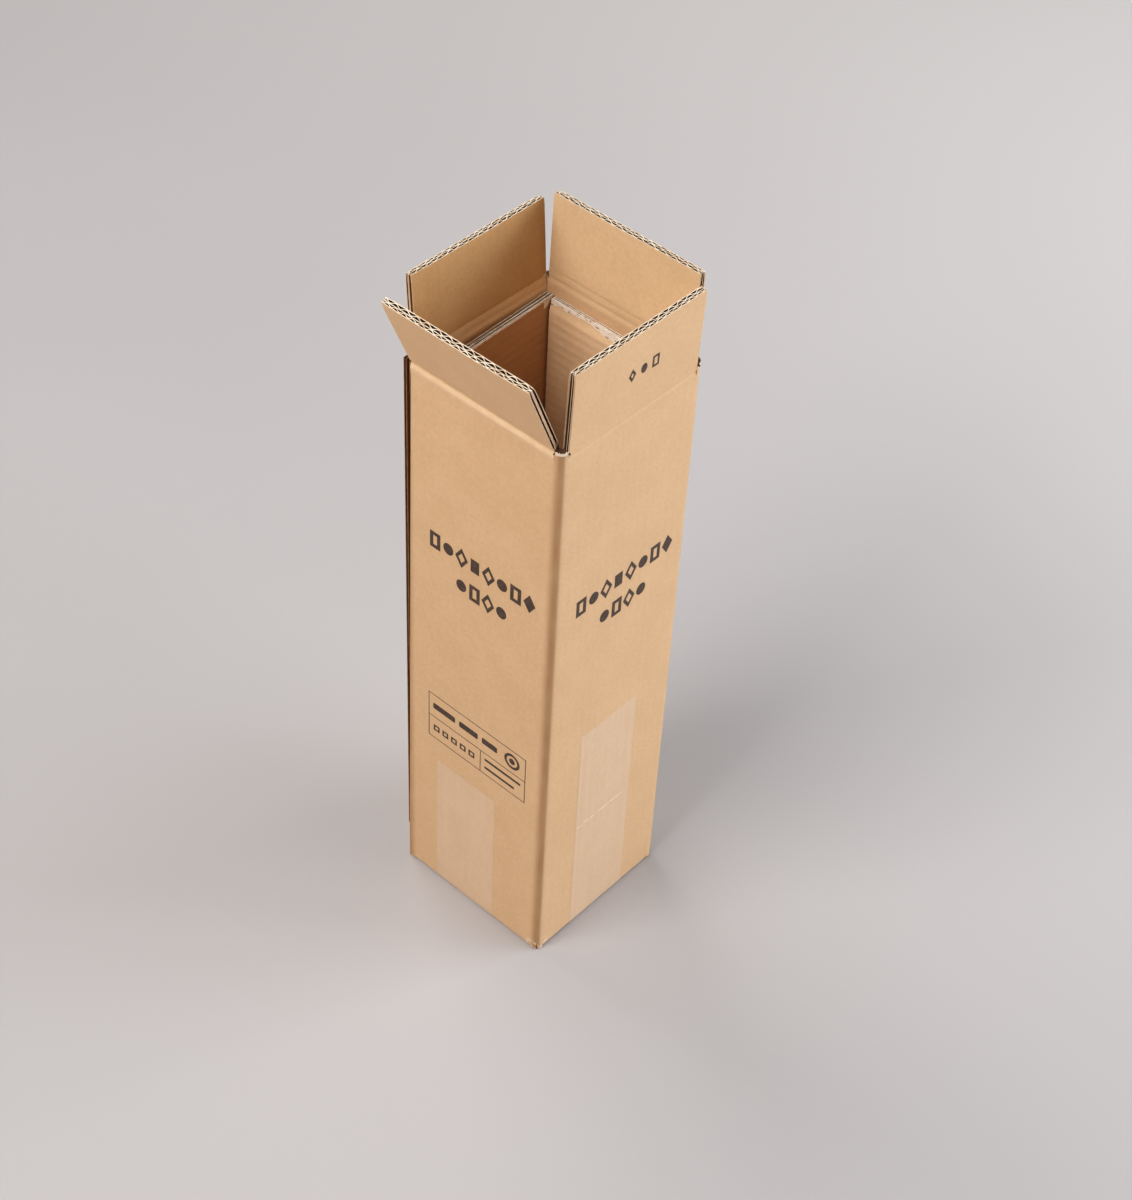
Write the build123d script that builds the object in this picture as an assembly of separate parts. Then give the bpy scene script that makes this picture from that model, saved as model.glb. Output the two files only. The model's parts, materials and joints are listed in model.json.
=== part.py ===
from build123d import *
from dataclasses import dataclass
from math import ceil, radians, tan
import os

# Shipping carton for one bottle, standing open, in millimetres.
# Z is up, the printed front face looks towards -Y, and the origin lies under the middle of the
# carton on the surface it stands on.


@dataclass(frozen=True)
class FluteRow:
    """One wavy paper layer between two flat liners."""

    pitch: float
    height: float
    crest: float


# Board: three liners with a high row of flutes and a low row between them
LINER = 0.3
PAPER = 0.4
HIGH_ROW = FluteRow(pitch=7.8, height=2.6, crest=0.7)
LOW_ROW = FluteRow(pitch=6.4, height=1.5, crest=0.5)
BOARD = 3 * LINER + HIGH_ROW.height + LOW_ROW.height

# Carton outside the board
WIDTH = 118.0
DEPTH = 116.0
CREASE_HEIGHT = 428.0
FOLD_RADIUS = 5.0
INNER_FOLD_RADIUS = 0.8

# Creases: each one is pinched to a thin web, and the flap turns about that web
CREASE_WEB_DEPTH = 1.0
CREASE_GAP = 0.1
FOLD_IN_ANGLE = 90.0
FOLD_OUT_ANGLE = 135.0
FOLD_SPARE_ANGLE = 1.0
CRUSHED_BAND = 6.5

# Flaps
SLOT_CLEARANCE = 0.75
POST_CLEARANCE = 0.4
LAP_CLEARANCE = 0.5
FLAP_SEAM = 0.6
FRONT_LEAN_ANGLE = 23.0
BACK_LEAN_ANGLE = 1.5
LEFT_LEAN_ANGLE = 4.0
RIGHT_LEAN_ANGLE = 2.0

# Glued corner at the front left: the raw end of the left wall laps over the glue flap
JOINT_GAP = 0.15
GLUE_FLAP_WIDTH = 30.0
GLUE_FLAP_THICKNESS = 2.4
JOINT_FOLD_RADIUS = 1.0
JOINT_END_WIDTH = 14.0
JOINT_CLOSE_HEIGHT = 22.0
CHANNEL_DEPTH = 2.5

# Bottom flaps
BOTTOM_LAP_GAP = 0.4
BOTTOM_SEAM = 1.0
BOTTOM_FOLD_RADIUS = 3.5
BOTTOM_JOIN = 12.0
CORNER_LIFT = 0.8
SIDE_FOLD_LIFT = 0.5
SIDE_FOLD_RADIUS = 3.0
SIDE_FOLD_CLEARANCE = 0.35
SIDE_FOLD_HEEL_RADIUS = 1.8

# Sleeve
SLEEVE_CLEARANCE = 0.4
SLEEVE_FLOOR_GAP = 0.3
SLEEVE_FOLD_RADIUS = 3.0
SLEEVE_SEAM = 1.6
SLEEVE_CHANNEL_DEPTH = 2.5

# Clear tape
TAPE_THICKNESS = 0.1
TAPE_WIDTH = 50.0
TAPE_FRONT_OFFSET = -7.0
TAPE_SIDE_OFFSET = -1.0
TAPE_FRONT_HEIGHT = 118.0
TAPE_BACK_HEIGHT = 104.0
TAPE_RIGHT_HEIGHT = 185.0
TAPE_LEFT_HEIGHT = 152.0

# Heights and places that follow from the sizes above
HALF_WIDTH = WIDTH / 2
HALF_DEPTH = DEPTH / 2
INNER_CREASE_HEIGHT = CREASE_HEIGHT - BOARD - LAP_CLEARANCE
SLOT = BOARD + SLOT_CLEARANCE
FLOOR = 2 * TAPE_THICKNESS
INNER_FLOOR = FLOOR + BOARD + BOTTOM_LAP_GAP
SLEEVE_BOTTOM = INNER_FLOOR + BOARD + SLEEVE_FLOOR_GAP
SLEEVE_TOP = INNER_CREASE_HEIGHT - (BOARD - CREASE_WEB_DEPTH) - LAP_CLEARANCE
GLUE_FLAP_OUTSIDE = -HALF_WIDTH + BOARD + JOINT_GAP
GLUE_FLAP_INSIDE = GLUE_FLAP_OUTSIDE + GLUE_FLAP_THICKNESS
OPEN_END = 1.0


@dataclass(frozen=True)
class Side:
    """One of the four panels: where its outer face is, and how its flap is made."""

    name: str
    turn: float
    face: float
    flap_half: float
    crease: float
    floor: float
    lean: float

    @property
    def flap_length(self) -> float:
        """Length from the web to the tip, so that two closed flaps meet in the middle."""
        return self.face - CREASE_WEB_DEPTH - FLAP_SEAM / 2


# The front and back flaps close outside the left and right ones
ACROSS_WIDTH = HALF_WIDTH - SLOT
ACROSS_DEPTH = HALF_DEPTH - SLOT
FRONT = Side("front", 0.0, HALF_DEPTH, ACROSS_WIDTH, CREASE_HEIGHT, FLOOR, FRONT_LEAN_ANGLE)
RIGHT = Side("right", 90.0, HALF_WIDTH, ACROSS_DEPTH, INNER_CREASE_HEIGHT, INNER_FLOOR, RIGHT_LEAN_ANGLE)
BACK = Side("back", 180.0, HALF_DEPTH, ACROSS_WIDTH, CREASE_HEIGHT, FLOOR, BACK_LEAN_ANGLE)
LEFT = Side("left", 270.0, HALF_WIDTH, ACROSS_DEPTH, INNER_CREASE_HEIGHT, INNER_FLOOR, LEFT_LEAN_ANGLE)
SIDES = (FRONT, RIGHT, BACK, LEFT)


def outline(points):
    """A face bounded by straight lines through the given points."""
    return make_face(Polyline(*points, close=True))


def rounded(face, corners, radius):
    """The face with the named corners rounded."""
    picked = [
        vertex
        for vertex in face.vertices()
        if any(abs(vertex.X - x) < 0.001 and abs(vertex.Y - y) < 0.001 for x, y in corners)
    ]
    return fillet(picked, radius)


def across(face, half_width, middle=0.0):
    """A profile in Y and Z, drawn out along X to both sides of its middle."""
    return Pos(middle, 0, 0) * extrude(Plane.YZ * face, amount=half_width, both=True)


def upright(face, bottom, top):
    """A profile in X and Y, drawn up from one height to another."""
    return extrude(Pos(0, 0, bottom) * face, amount=top - bottom)


def block(x_low, x_high, y_low, y_high, z_low, z_high):
    """A box between the given limits."""
    middle = Pos((x_low + x_high) / 2, (y_low + y_high) / 2, (z_low + z_high) / 2)
    return middle * Box(x_high - x_low, y_high - y_low, z_high - z_low)


def rectangle(x_low, x_high, y_low, y_high):
    """A flat rectangle between the given limits."""
    return outline([(x_low, y_low), (x_high, y_low), (x_high, y_high), (x_low, y_high)])


# Crease


def crease_rise(depth, fold):
    """Height that a bevel needs over a depth of board, so the fold closes without touching."""
    return depth * tan(radians((fold + FOLD_SPARE_ANGLE) / 2)) + CREASE_GAP


OUTER_RISE = crease_rise(CREASE_WEB_DEPTH, FOLD_OUT_ANGLE)
INNER_RISE = crease_rise(BOARD - CREASE_WEB_DEPTH, FOLD_IN_ANGLE)


def wall_head(side):
    """What is taken off above a wall, down to the pinched crease."""
    outer = -side.face
    web = outer + CREASE_WEB_DEPTH
    inner = outer + BOARD
    low_out = side.crease - OUTER_RISE
    low_in = side.crease - INNER_RISE
    above = CREASE_HEIGHT + OPEN_END
    profile = outline(
        [
            (outer - OPEN_END, above),
            (outer - OPEN_END, low_out),
            (outer, low_out),
            (web, side.crease - CREASE_GAP),
            (inner, low_in),
            (inner + OPEN_END, low_in),
            (inner + OPEN_END, above),
        ]
    )
    return across(profile, side.flap_half + POST_CLEARANCE)


# Flap with its fluted section


def flute_voids(row, low, wide_low, half_width):
    """The hollows of one flute row as faces in X and Y, each a bell cut to four sides."""
    step = row.pitch / 2
    foot = step - PAPER - row.crest
    high = low + row.height
    count = ceil(half_width / step) + 1
    voids = []
    for place in range(-count, count + 1):
        middle = place * step
        opens_low = (place % 2 == 0) == wide_low
        at_low = foot if opens_low else row.crest
        at_high = row.crest if opens_low else foot
        reach = max(at_low, at_high)
        if abs(middle) - reach >= half_width:
            continue
        voids.append(
            outline(
                [
                    (middle - at_low, low),
                    (middle + at_low, low),
                    (middle + at_high, high),
                    (middle - at_high, high),
                ]
            )
        )
    return voids


def flap(side):
    """One top flap: a pinched foot at the crease, and open flutes along the tip and side edges."""
    outer = -side.face
    web = outer + CREASE_WEB_DEPTH
    inner = outer + BOARD
    tip = side.crease + side.flap_length
    profile = outline(
        [
            (outer, tip),
            (outer, side.crease + OUTER_RISE),
            (web, side.crease + CREASE_GAP),
            (inner, side.crease + INNER_RISE),
            (inner, tip),
        ]
    )
    low_row = outer + LINER
    high_row = low_row + LOW_ROW.height + LINER
    voids = flute_voids(LOW_ROW, low_row, True, side.flap_half)
    voids += flute_voids(HIGH_ROW, high_row, False, side.flap_half)
    board = across(profile, side.flap_half)
    board -= [upright(void, side.crease + CRUSHED_BAND, tip + OPEN_END) for void in voids]
    leaning = board.rotate(Axis((0, web, side.crease), (1, 0, 0)), side.lean)
    return leaning.rotate(Axis.Z, side.turn)


# Carton body


def wall_plan():
    """Walls seen from above, with folded corners and an open front left corner."""
    outer = rectangle(-HALF_WIDTH, HALF_WIDTH, -HALF_DEPTH, HALF_DEPTH)
    folded = [(HALF_WIDTH, -HALF_DEPTH), (HALF_WIDTH, HALF_DEPTH), (-HALF_WIDTH, HALF_DEPTH)]
    outer = rounded(outer, folded, FOLD_RADIUS)
    room_x = HALF_WIDTH - BOARD
    room_y = HALF_DEPTH - BOARD
    room = rectangle(-room_x, room_x, -room_y, room_y)
    folded = [(room_x, -room_y), (room_x, room_y), (-room_x, room_y)]
    return outer - rounded(room, folded, INNER_FOLD_RADIUS)


def joint_end(gap, front, back):
    """The left end of the front wall, which laps further over the joint towards the bottom."""
    left = -HALF_WIDTH - gap
    right = -HALF_WIDTH + BOARD + JOINT_END_WIDTH
    bottom = FLOOR + CORNER_LIFT
    profile = outline(
        [
            (left, bottom),
            (right, bottom),
            (right, CREASE_HEIGHT),
            (GLUE_FLAP_OUTSIDE - gap, CREASE_HEIGHT),
            (left, JOINT_CLOSE_HEIGHT),
        ]
    )
    end = extrude(Plane.XZ * profile, amount=back - front)
    return Pos(0, back, 0) * end


def raw_edge_channels():
    """Flutes laid open along the raw front end of the left wall."""
    low_row = -HALF_WIDTH + LINER
    high_row = low_row + LOW_ROW.height + LINER
    front = -HALF_DEPTH - OPEN_END
    back = -HALF_DEPTH + CHANNEL_DEPTH
    channels = []
    for start, row in ((low_row, LOW_ROW), (high_row, HIGH_ROW)):
        channels.append(block(start, start + row.height, front, back, 0, CREASE_HEIGHT + OPEN_END))
    return channels


def glued_corner(walls):
    """The walls with the front left corner cut open, lapped and glued inside."""
    front = -HALF_DEPTH
    inside = front + BOARD
    walls -= raw_edge_channels()
    walls -= joint_end(JOINT_GAP, front - OPEN_END, inside + JOINT_GAP)
    end = joint_end(0.0, front, inside)
    foremost = [edge for edge in end.edges() if edge.center().Y < front + 0.001]
    folded = [edge for edge in foremost if edge.center().X < GLUE_FLAP_OUTSIDE]
    end = fillet(folded, JOINT_FOLD_RADIUS)
    glue_flap = block(
        GLUE_FLAP_OUTSIDE,
        GLUE_FLAP_INSIDE,
        inside - BOARD / 2,
        inside + GLUE_FLAP_WIDTH,
        SLEEVE_BOTTOM,
        SLEEVE_TOP,
    )
    return walls + end + glue_flap


def bottom_flap(side):
    """A bottom flap with the foot of its wall, as one bent strip of board."""
    outer = -side.face
    inner = outer + BOARD
    tip = -BOTTOM_SEAM / 2
    top = side.floor + BOTTOM_JOIN
    strip = outline(
        [
            (outer, top),
            (outer, side.floor),
            (tip, side.floor),
            (tip, side.floor + BOARD),
            (inner, side.floor + BOARD),
            (inner, top),
        ]
    )
    if side in (FRONT, BACK):
        strip = rounded(strip, [(outer, side.floor)], BOTTOM_FOLD_RADIUS)
    else:
        strip += side_fold(outer, side.floor + BOARD / 2)
    strip = rounded(strip, [(inner, side.floor + BOARD)], INNER_FOLD_RADIUS)
    return across(strip, side.flap_half).rotate(Axis.Z, side.turn)


def side_fold(outer, top):
    """The fold of a left or right bottom flap, which hangs beside the ends of the outer flaps."""
    heel = outer + SLOT - SIDE_FOLD_CLEARANCE
    low = FLOOR + SIDE_FOLD_LIFT
    fold = rectangle(outer, heel, low, top)
    fold = rounded(fold, [(outer, low)], SIDE_FOLD_RADIUS)
    return rounded(fold, [(heel, low)], SIDE_FOLD_HEEL_RADIUS)


def wall_foot(side):
    """What is taken off a wall below its bottom fold."""
    outer = -side.face
    top = side.floor + BOTTOM_JOIN
    foot = block(-side.flap_half, side.flap_half, outer - OPEN_END, outer + BOARD + JOINT_GAP, 0, top)
    return foot.rotate(Axis.Z, side.turn)


def carton_body():
    """Four walls, the glued corner and the four closed bottom flaps, folded from one sheet."""
    walls = upright(wall_plan(), FLOOR + CORNER_LIFT, CREASE_HEIGHT)
    walls = glued_corner(walls)
    for side in SIDES:
        walls -= wall_head(side).rotate(Axis.Z, side.turn)
        walls -= wall_foot(side)
        walls += bottom_flap(side)
    return walls


# Inner sleeve


def inner_sleeve():
    """A second folded sheet inside the walls, its flutes level and open along the top edge."""
    side_x = HALF_WIDTH - BOARD - SLEEVE_CLEARANCE
    side_y = HALF_DEPTH - BOARD - SLEEVE_CLEARANCE
    # The left panel runs from the back corner past the end of the glue flap
    flap_end = -HALF_DEPTH + BOARD + GLUE_FLAP_WIDTH
    slope = (GLUE_FLAP_INSIDE + SLEEVE_CLEARANCE + side_x) / (side_y - flap_end)
    front_left = -side_x + slope * 2 * side_y
    corners = [(front_left, -side_y), (side_x, -side_y), (side_x, side_y), (-side_x, side_y)]
    outer = rounded(outline(corners), corners[:3], SLEEVE_FOLD_RADIUS)

    def ring(start, width):
        """A band of the section, from one depth in the board over a width."""
        outside = offset(outer, amount=-start) if start else outer
        return outside - offset(outer, amount=-start - width)

    sleeve = upright(ring(0, BOARD), SLEEVE_BOTTOM, SLEEVE_TOP)
    high_start = LINER
    low_start = 2 * LINER + HIGH_ROW.height
    for start, row in ((high_start, HIGH_ROW), (low_start, LOW_ROW)):
        groove = ring(start, row.height)
        sleeve -= upright(groove, SLEEVE_TOP - SLEEVE_CHANNEL_DEPTH, SLEEVE_TOP + OPEN_END)
    seam_start = -side_x + BOARD
    return sleeve - block(
        seam_start,
        seam_start + SLEEVE_SEAM,
        side_y - BOARD - OPEN_END,
        side_y + OPEN_END,
        SLEEVE_BOTTOM - OPEN_END,
        SLEEVE_TOP + OPEN_END,
    )


# Tape


def tape_strip(face, lowest, radius, height_front, height_back, middle):
    """A strip that runs down one face, under the bottom and up the face behind."""
    outside = face + TAPE_THICKNESS
    inside_low = lowest + TAPE_THICKNESS
    strip = outline(
        [
            (-outside, height_front),
            (-outside, lowest),
            (outside, lowest),
            (outside, height_back),
            (face, height_back),
            (face, inside_low),
            (-face, inside_low),
            (-face, height_front),
        ]
    )
    strip = rounded(strip, [(-outside, lowest), (outside, lowest)], radius + TAPE_THICKNESS)
    strip = rounded(strip, [(-face, inside_low), (face, inside_low)], radius)
    return across(strip, TAPE_WIDTH / 2, middle)


def tape_front():
    """Tape over the front face, the bottom and the back face."""
    return tape_strip(
        HALF_DEPTH, 0.0, BOTTOM_FOLD_RADIUS, TAPE_FRONT_HEIGHT, TAPE_BACK_HEIGHT, TAPE_FRONT_OFFSET
    )


def tape_side():
    """Tape over the right face, the bottom seam and the left face."""
    strip = tape_strip(
        HALF_WIDTH,
        TAPE_THICKNESS,
        SIDE_FOLD_RADIUS + SIDE_FOLD_LIFT,
        TAPE_RIGHT_HEIGHT,
        TAPE_LEFT_HEIGHT,
        TAPE_SIDE_OFFSET,
    )
    return strip.rotate(Axis.Z, RIGHT.turn)


def main():
    """Write one file for each piece."""
    os.makedirs("parts", exist_ok=True)
    export_step(carton_body(), "parts/carton_body.step")
    for side in SIDES:
        export_step(flap(side), f"parts/flap_{side.name}.step")
    export_step(inner_sleeve(), "parts/inner_sleeve.step")
    export_step(tape_front(), "parts/tape_front.step")
    export_step(tape_side(), "parts/tape_side.step")


main()
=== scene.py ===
"""Looks of an open shipping carton for a bottle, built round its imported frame.

A length is in metres and an angle in radians, unless its line says something else.
"""

import json
import logging
import math
from dataclasses import dataclass, field, replace
from enum import Enum
from typing import Callable

import bmesh
import bpy
from mathutils import Matrix, Vector, noise

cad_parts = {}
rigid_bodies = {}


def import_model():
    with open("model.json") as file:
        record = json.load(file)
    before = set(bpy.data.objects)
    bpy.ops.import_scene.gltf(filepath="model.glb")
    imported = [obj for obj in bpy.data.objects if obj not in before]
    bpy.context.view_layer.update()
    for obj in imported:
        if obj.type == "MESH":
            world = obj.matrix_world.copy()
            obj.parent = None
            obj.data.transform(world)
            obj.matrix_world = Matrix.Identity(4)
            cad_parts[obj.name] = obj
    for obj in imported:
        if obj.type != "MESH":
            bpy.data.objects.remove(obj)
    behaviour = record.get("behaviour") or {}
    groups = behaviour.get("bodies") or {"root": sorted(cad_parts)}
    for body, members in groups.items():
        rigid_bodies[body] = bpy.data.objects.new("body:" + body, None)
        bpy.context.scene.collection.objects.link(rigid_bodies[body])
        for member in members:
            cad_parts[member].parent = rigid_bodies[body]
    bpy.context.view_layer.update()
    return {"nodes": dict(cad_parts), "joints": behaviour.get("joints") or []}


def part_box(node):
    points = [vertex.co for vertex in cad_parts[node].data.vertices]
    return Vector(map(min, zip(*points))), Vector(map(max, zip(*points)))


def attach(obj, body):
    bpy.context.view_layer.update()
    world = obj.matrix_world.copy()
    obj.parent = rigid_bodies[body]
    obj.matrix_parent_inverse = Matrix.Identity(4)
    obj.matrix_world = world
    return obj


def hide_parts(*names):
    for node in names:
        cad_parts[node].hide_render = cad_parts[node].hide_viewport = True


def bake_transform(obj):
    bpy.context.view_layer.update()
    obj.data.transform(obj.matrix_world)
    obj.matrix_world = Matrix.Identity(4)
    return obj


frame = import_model()

LOG = logging.getLogger("carton")
MM = 0.001

Colour = tuple[float, float, float, float]
Shape = Callable[[float, float], Vector]


def paint(red: int, green: int, blue: int) -> Colour:
    """A colour given as it looks on screen, from 0 to 255, in the renderer's linear light.

    Args:
        red: Its red.
        green: Its green.
        blue: Its blue.

    Returns:
        The colour with full cover.
    """
    parts = [channel / 255 for channel in (red, green, blue)]
    linear = [part / 12.92 if part <= 0.04045 else ((part + 0.055) / 1.055) ** 2.4 for part in parts]
    return (linear[0], linear[1], linear[2], 1.0)


def clamp(value: float, low: float = 0.0, high: float = 1.0) -> float:
    """The value, held between two limits."""
    return max(low, min(high, value))


def ease(value: float, start: float, end: float) -> float:
    """A smooth step from 0 at start to 1 at end."""
    share = clamp((value - start) / (end - start))
    return share * share * (3 - 2 * share)


def bell(value: float, width: float) -> float:
    """A bump of height 1 about zero, a width on each side."""
    return math.exp(-((value / width) ** 2))


def wander(x: float, z: float, length: float, seed: float = 0.0) -> float:
    """Smooth noise from -1 to 1 at a place, with waves of a length."""
    return noise.noise(Vector((x / length, z / length, seed)))


def even(count: int) -> list[float]:
    """Shares from 0 to 1 in even steps."""
    return [place / count for place in range(count + 1)]


def close_at_ends(count: int) -> list[float]:
    """Shares from 0 to 1 that lie close together at both ends."""
    return [(1 - math.cos(math.pi * place / count)) / 2 for place in range(count + 1)]


def feed(socket: bpy.types.NodeSocket, value: object) -> None:
    """Links a socket to a value, or sets it to a plain number or colour.

    Args:
        socket: Input socket of a node.
        value: What goes into it.
    """
    if isinstance(value, Value):
        value.tree.links.new(value.socket, socket)
    else:
        socket.default_value = value


def new_value(
    tree: bpy.types.NodeTree, kind: str, output: int | str, inputs: dict | None = None, **settings: object
) -> "Value":
    """Adds a node and reads one of its outputs.

    Args:
        tree: Node tree that takes the node.
        kind: Type of the node.
        output: Name or number of the output.
        inputs: What goes into the node, by the name or number of an input.
        settings: Properties of the node, which are set first.

    Returns:
        The output.
    """
    made = tree.nodes.new(kind)
    for name, setting in settings.items():
        setattr(made, name, setting)
    for name, value in (inputs or {}).items():
        feed(made.inputs[name], value)
    return Value(tree, made.outputs[output])


def joined(operation: str, swapped: bool = False) -> Callable[..., "Value"]:
    """A method that puts a value and another one through a Math node.

    Args:
        operation: What the node does.
        swapped: True where the other value comes first.

    Returns:
        The method.
    """

    def method(self: "Value", other: object = 0.0) -> "Value":
        """The node's result for this value and another one."""
        first, second = (other, self) if swapped else (self, other)
        return self.make("ShaderNodeMath", 0, {0: first, 1: second}, operation=operation)

    return method


@dataclass(frozen=True, eq=False)
class Value:
    """An output socket, which plain signs and short methods turn into new nodes.

    Attributes:
        tree: Node tree of the socket.
        socket: The socket.
    """

    tree: bpy.types.NodeTree
    socket: bpy.types.NodeSocket

    __add__ = __radd__ = joined("ADD")
    __mul__ = __rmul__ = joined("MULTIPLY")
    __sub__ = joined("SUBTRACT")
    __rsub__ = joined("SUBTRACT", swapped=True)
    __truediv__ = joined("DIVIDE")
    __gt__ = joined("GREATER_THAN")
    __lt__ = joined("LESS_THAN")
    __abs__ = joined("ABSOLUTE")
    most = joined("MAXIMUM")
    least = joined("MINIMUM")
    cosine = joined("COSINE")

    def make(self, kind: str, output: int | str, inputs: dict | None = None, **settings: object) -> "Value":
        """An output of a new node in the same tree."""
        return new_value(self.tree, kind, output, inputs, **settings)

    def span(self, low: float, high: float) -> "Value":
        """A smooth mask that goes from 0 at low to 1 at high."""
        inputs = {"Value": self, "From Min": low, "From Max": high}
        return self.make("ShaderNodeMapRange", "Result", inputs, interpolation_type="SMOOTHSTEP")

    def blend(self, first: object, second: object) -> "Value":
        """A mix of two colours, with this value as the second one's share."""
        return self.make("ShaderNodeMix", 2, {0: self, 6: first, 7: second}, data_type="RGBA")

    def stretch(self, x: float, y: float, z: float) -> "Value":
        """A vector with each part multiplied by its own factor."""
        return self.make("ShaderNodeVectorMath", 0, {0: self, 1: (x, y, z)}, operation="MULTIPLY")

    def cloud(self, scale: float, detail: float = 3.0) -> "Value":
        """Noise from 0 to 1, with so many waves to the metre."""
        return self.make("ShaderNodeTexNoise", "Fac", {"Vector": self, "Scale": scale, "Detail": detail})

    def parts(self) -> list["Value"]:
        """The three parts of a vector."""
        made = self.tree.nodes.new("ShaderNodeSeparateXYZ")
        feed(made.inputs[0], self)
        return [Value(self.tree, socket) for socket in made.outputs]

    def bump(self, depth: float) -> "Value":
        """A normal from a height of 0 to 1 over a depth."""
        return self.make("ShaderNodeBump", "Normal", {"Distance": depth, "Height": self})

    def normal(self) -> list["Value"]:
        """The three parts of the surface's own normal."""
        return self.make("ShaderNodeTexCoord", "Normal").parts()


def shared(
    tree: bpy.types.NodeTree, recipe: Callable[..., dict[str, Value]], **inputs: object
) -> list[Value]:
    """Adds a shared node group, which the recipe names, and fills at its first use.

    Args:
        tree: Node tree that takes the group.
        recipe: Turns the group's inputs into its outputs, by name.
        inputs: What goes into the group, by name.

    Returns:
        The group's outputs, in the recipe's order.
    """
    group = bpy.data.node_groups.get(recipe.__name__)
    if not group:
        group = bpy.data.node_groups.new(recipe.__name__, "ShaderNodeTree")
        for label in inputs:
            kind = "NodeSocketVector" if label == "Vector" else "NodeSocketFloat"
            group.interface.new_socket(label, in_out="INPUT", socket_type=kind)
        start = group.nodes.new("NodeGroupInput")
        found = recipe(*(Value(group, start.outputs[label]) for label in inputs))
        for label in found:
            group.interface.new_socket(label, in_out="OUTPUT", socket_type="NodeSocketFloat")
        end = group.nodes.new("NodeGroupOutput")
        for label, value in found.items():
            feed(end.inputs[label], value)
    made = tree.nodes.new("ShaderNodeGroup")
    made.node_tree = group
    for label, value in inputs.items():
        feed(made.inputs[label], value)
    return [Value(tree, socket) for socket in made.outputs]


def paper_fibres(place: Value) -> dict[str, Value]:
    """The grain of paper: clouds of tone, short fibres and sparse dark flecks, each from 0 to 1.

    Args:
        place: Place on the paper.

    Returns:
        The three parts of the grain, by name.
    """
    grain = place.cloud(420.0, 4.0)
    lying = place.stretch(1.0, 1.0, 4.0).cloud(500.0, 2.0)
    standing = place.stretch(3.5, 3.5, 1.0).cloud(520.0, 2.0)
    fibres = lying * 0.5 + standing * 0.5
    return {
        "Tone": (place.cloud(45.0, 2.0) * 0.25 + grain * 0.35 + fibres * 0.4).span(0.36, 0.64),
        "Fleck": place.stretch(1.0, 1.0, 1.6).cloud(610.0, 1.0).span(0.71, 0.8),
        "Height": fibres * 0.6 + grain * 0.4,
    }


def washboard(across: Value, pitch: Value) -> dict[str, Value]:
    """The faint ribs that flutes press through a liner, from 0 to 1."""
    return {"Height": (across / pitch * math.tau).cosine() * 0.5 + 0.5}


class Lines(Enum):
    """Which way the flutes run below a liner."""

    UPRIGHT = "upright"
    LEVEL = "level"


class Place(Enum):
    """Where a finish reads its pattern's place from."""

    OBJECT = "object"
    REST = "rest_place"


@dataclass(frozen=True)
class Finish:
    """A procedural finish, whose material is built once.

    Attributes:
        name: Name of the material.
        place: Where the pattern's place is read from.
    """

    name: str
    place: Place = Place.OBJECT

    def material(self) -> bpy.types.Material:
        """Builds the material once, and finds it again after that.

        Returns:
            The finish's material.
        """
        known = bpy.data.materials.get(self.name)
        if known:
            return known
        made = bpy.data.materials.new(self.name)
        made.use_nodes = True
        tree = made.node_tree
        if self.place is Place.REST:
            place = new_value(tree, "ShaderNodeAttribute", "Vector", attribute_name=self.place.value)
        else:
            place = new_value(tree, "ShaderNodeTexCoord", "Object")
        for name, value in self.sockets(place).items():
            feed(tree.nodes["Principled BSDF"].inputs[name], value)
        return made

    def sockets(self, place: Value) -> dict[str, object]:
        """What goes into the shader.

        Args:
            place: Place on the surface.

        Returns:
            The values, by the socket's name.
        """
        raise NotImplementedError


@dataclass(frozen=True)
class Kraft(Finish):
    """Brown liner paper with its grain, flecks and faint ribs.

    Attributes:
        base: Usual colour of the paper.
        deep: Colour of the darker clouds.
        fleck: Colour of the sparse flecks.
        pitch: Pitch of the flutes below.
        lines: Which way those flutes run.
        ribs: How much the ribs show, as a share of the bump.
        gloss: Weight of a clear coat over the paper.
    """

    base: Colour = paint(219, 178, 135)
    deep: Colour = paint(210, 168, 124)
    fleck: Colour = paint(166, 122, 82)
    pitch: float = 6.4 * MM
    lines: Lines = Lines.UPRIGHT
    ribs: float = 0.5
    gloss: float = 0.0

    def across(self, place: Value) -> Value:
        """The distance across the flutes, which stand on every face or lie level.

        Args:
            place: Place on the paper.

        Returns:
            The distance.
        """
        x, y, z = place.parts()
        if self.lines is Lines.LEVEL:
            return z
        sideways, forwards, _ = place.normal()
        on_front = abs(forwards) > abs(sideways)
        return x * on_front + y * (1.0 - on_front)

    def marks(self, place: Value, colour: Value) -> Value:
        """Adds nothing here: a finish with folds or worn edges paints them in this step.

        Args:
            place: Place on the paper.
            colour: Colour of the plain paper.

        Returns:
            The colour with its marks.
        """
        return colour

    def sockets(self, place: Value) -> dict[str, object]:
        """The paper's colour, roughness, bump and coat."""
        tone, fleck, height = shared(place.tree, paper_fibres, Vector=place)
        ribs = shared(place.tree, washboard, Across=self.across(place), Pitch=self.pitch)[0]
        colour = (fleck * 0.3).blend(tone.blend(self.deep, self.base), self.fleck)
        return {
            "Base Color": self.marks(place, colour),
            "Roughness": tone * 0.14 + 0.72,
            "Normal": (height * 0.5 + ribs * self.ribs).bump(0.12 * MM),
            "Specular IOR Level": 0.3,
            "Coat Weight": self.gloss,
            "Coat Roughness": 0.22,
        }


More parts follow.
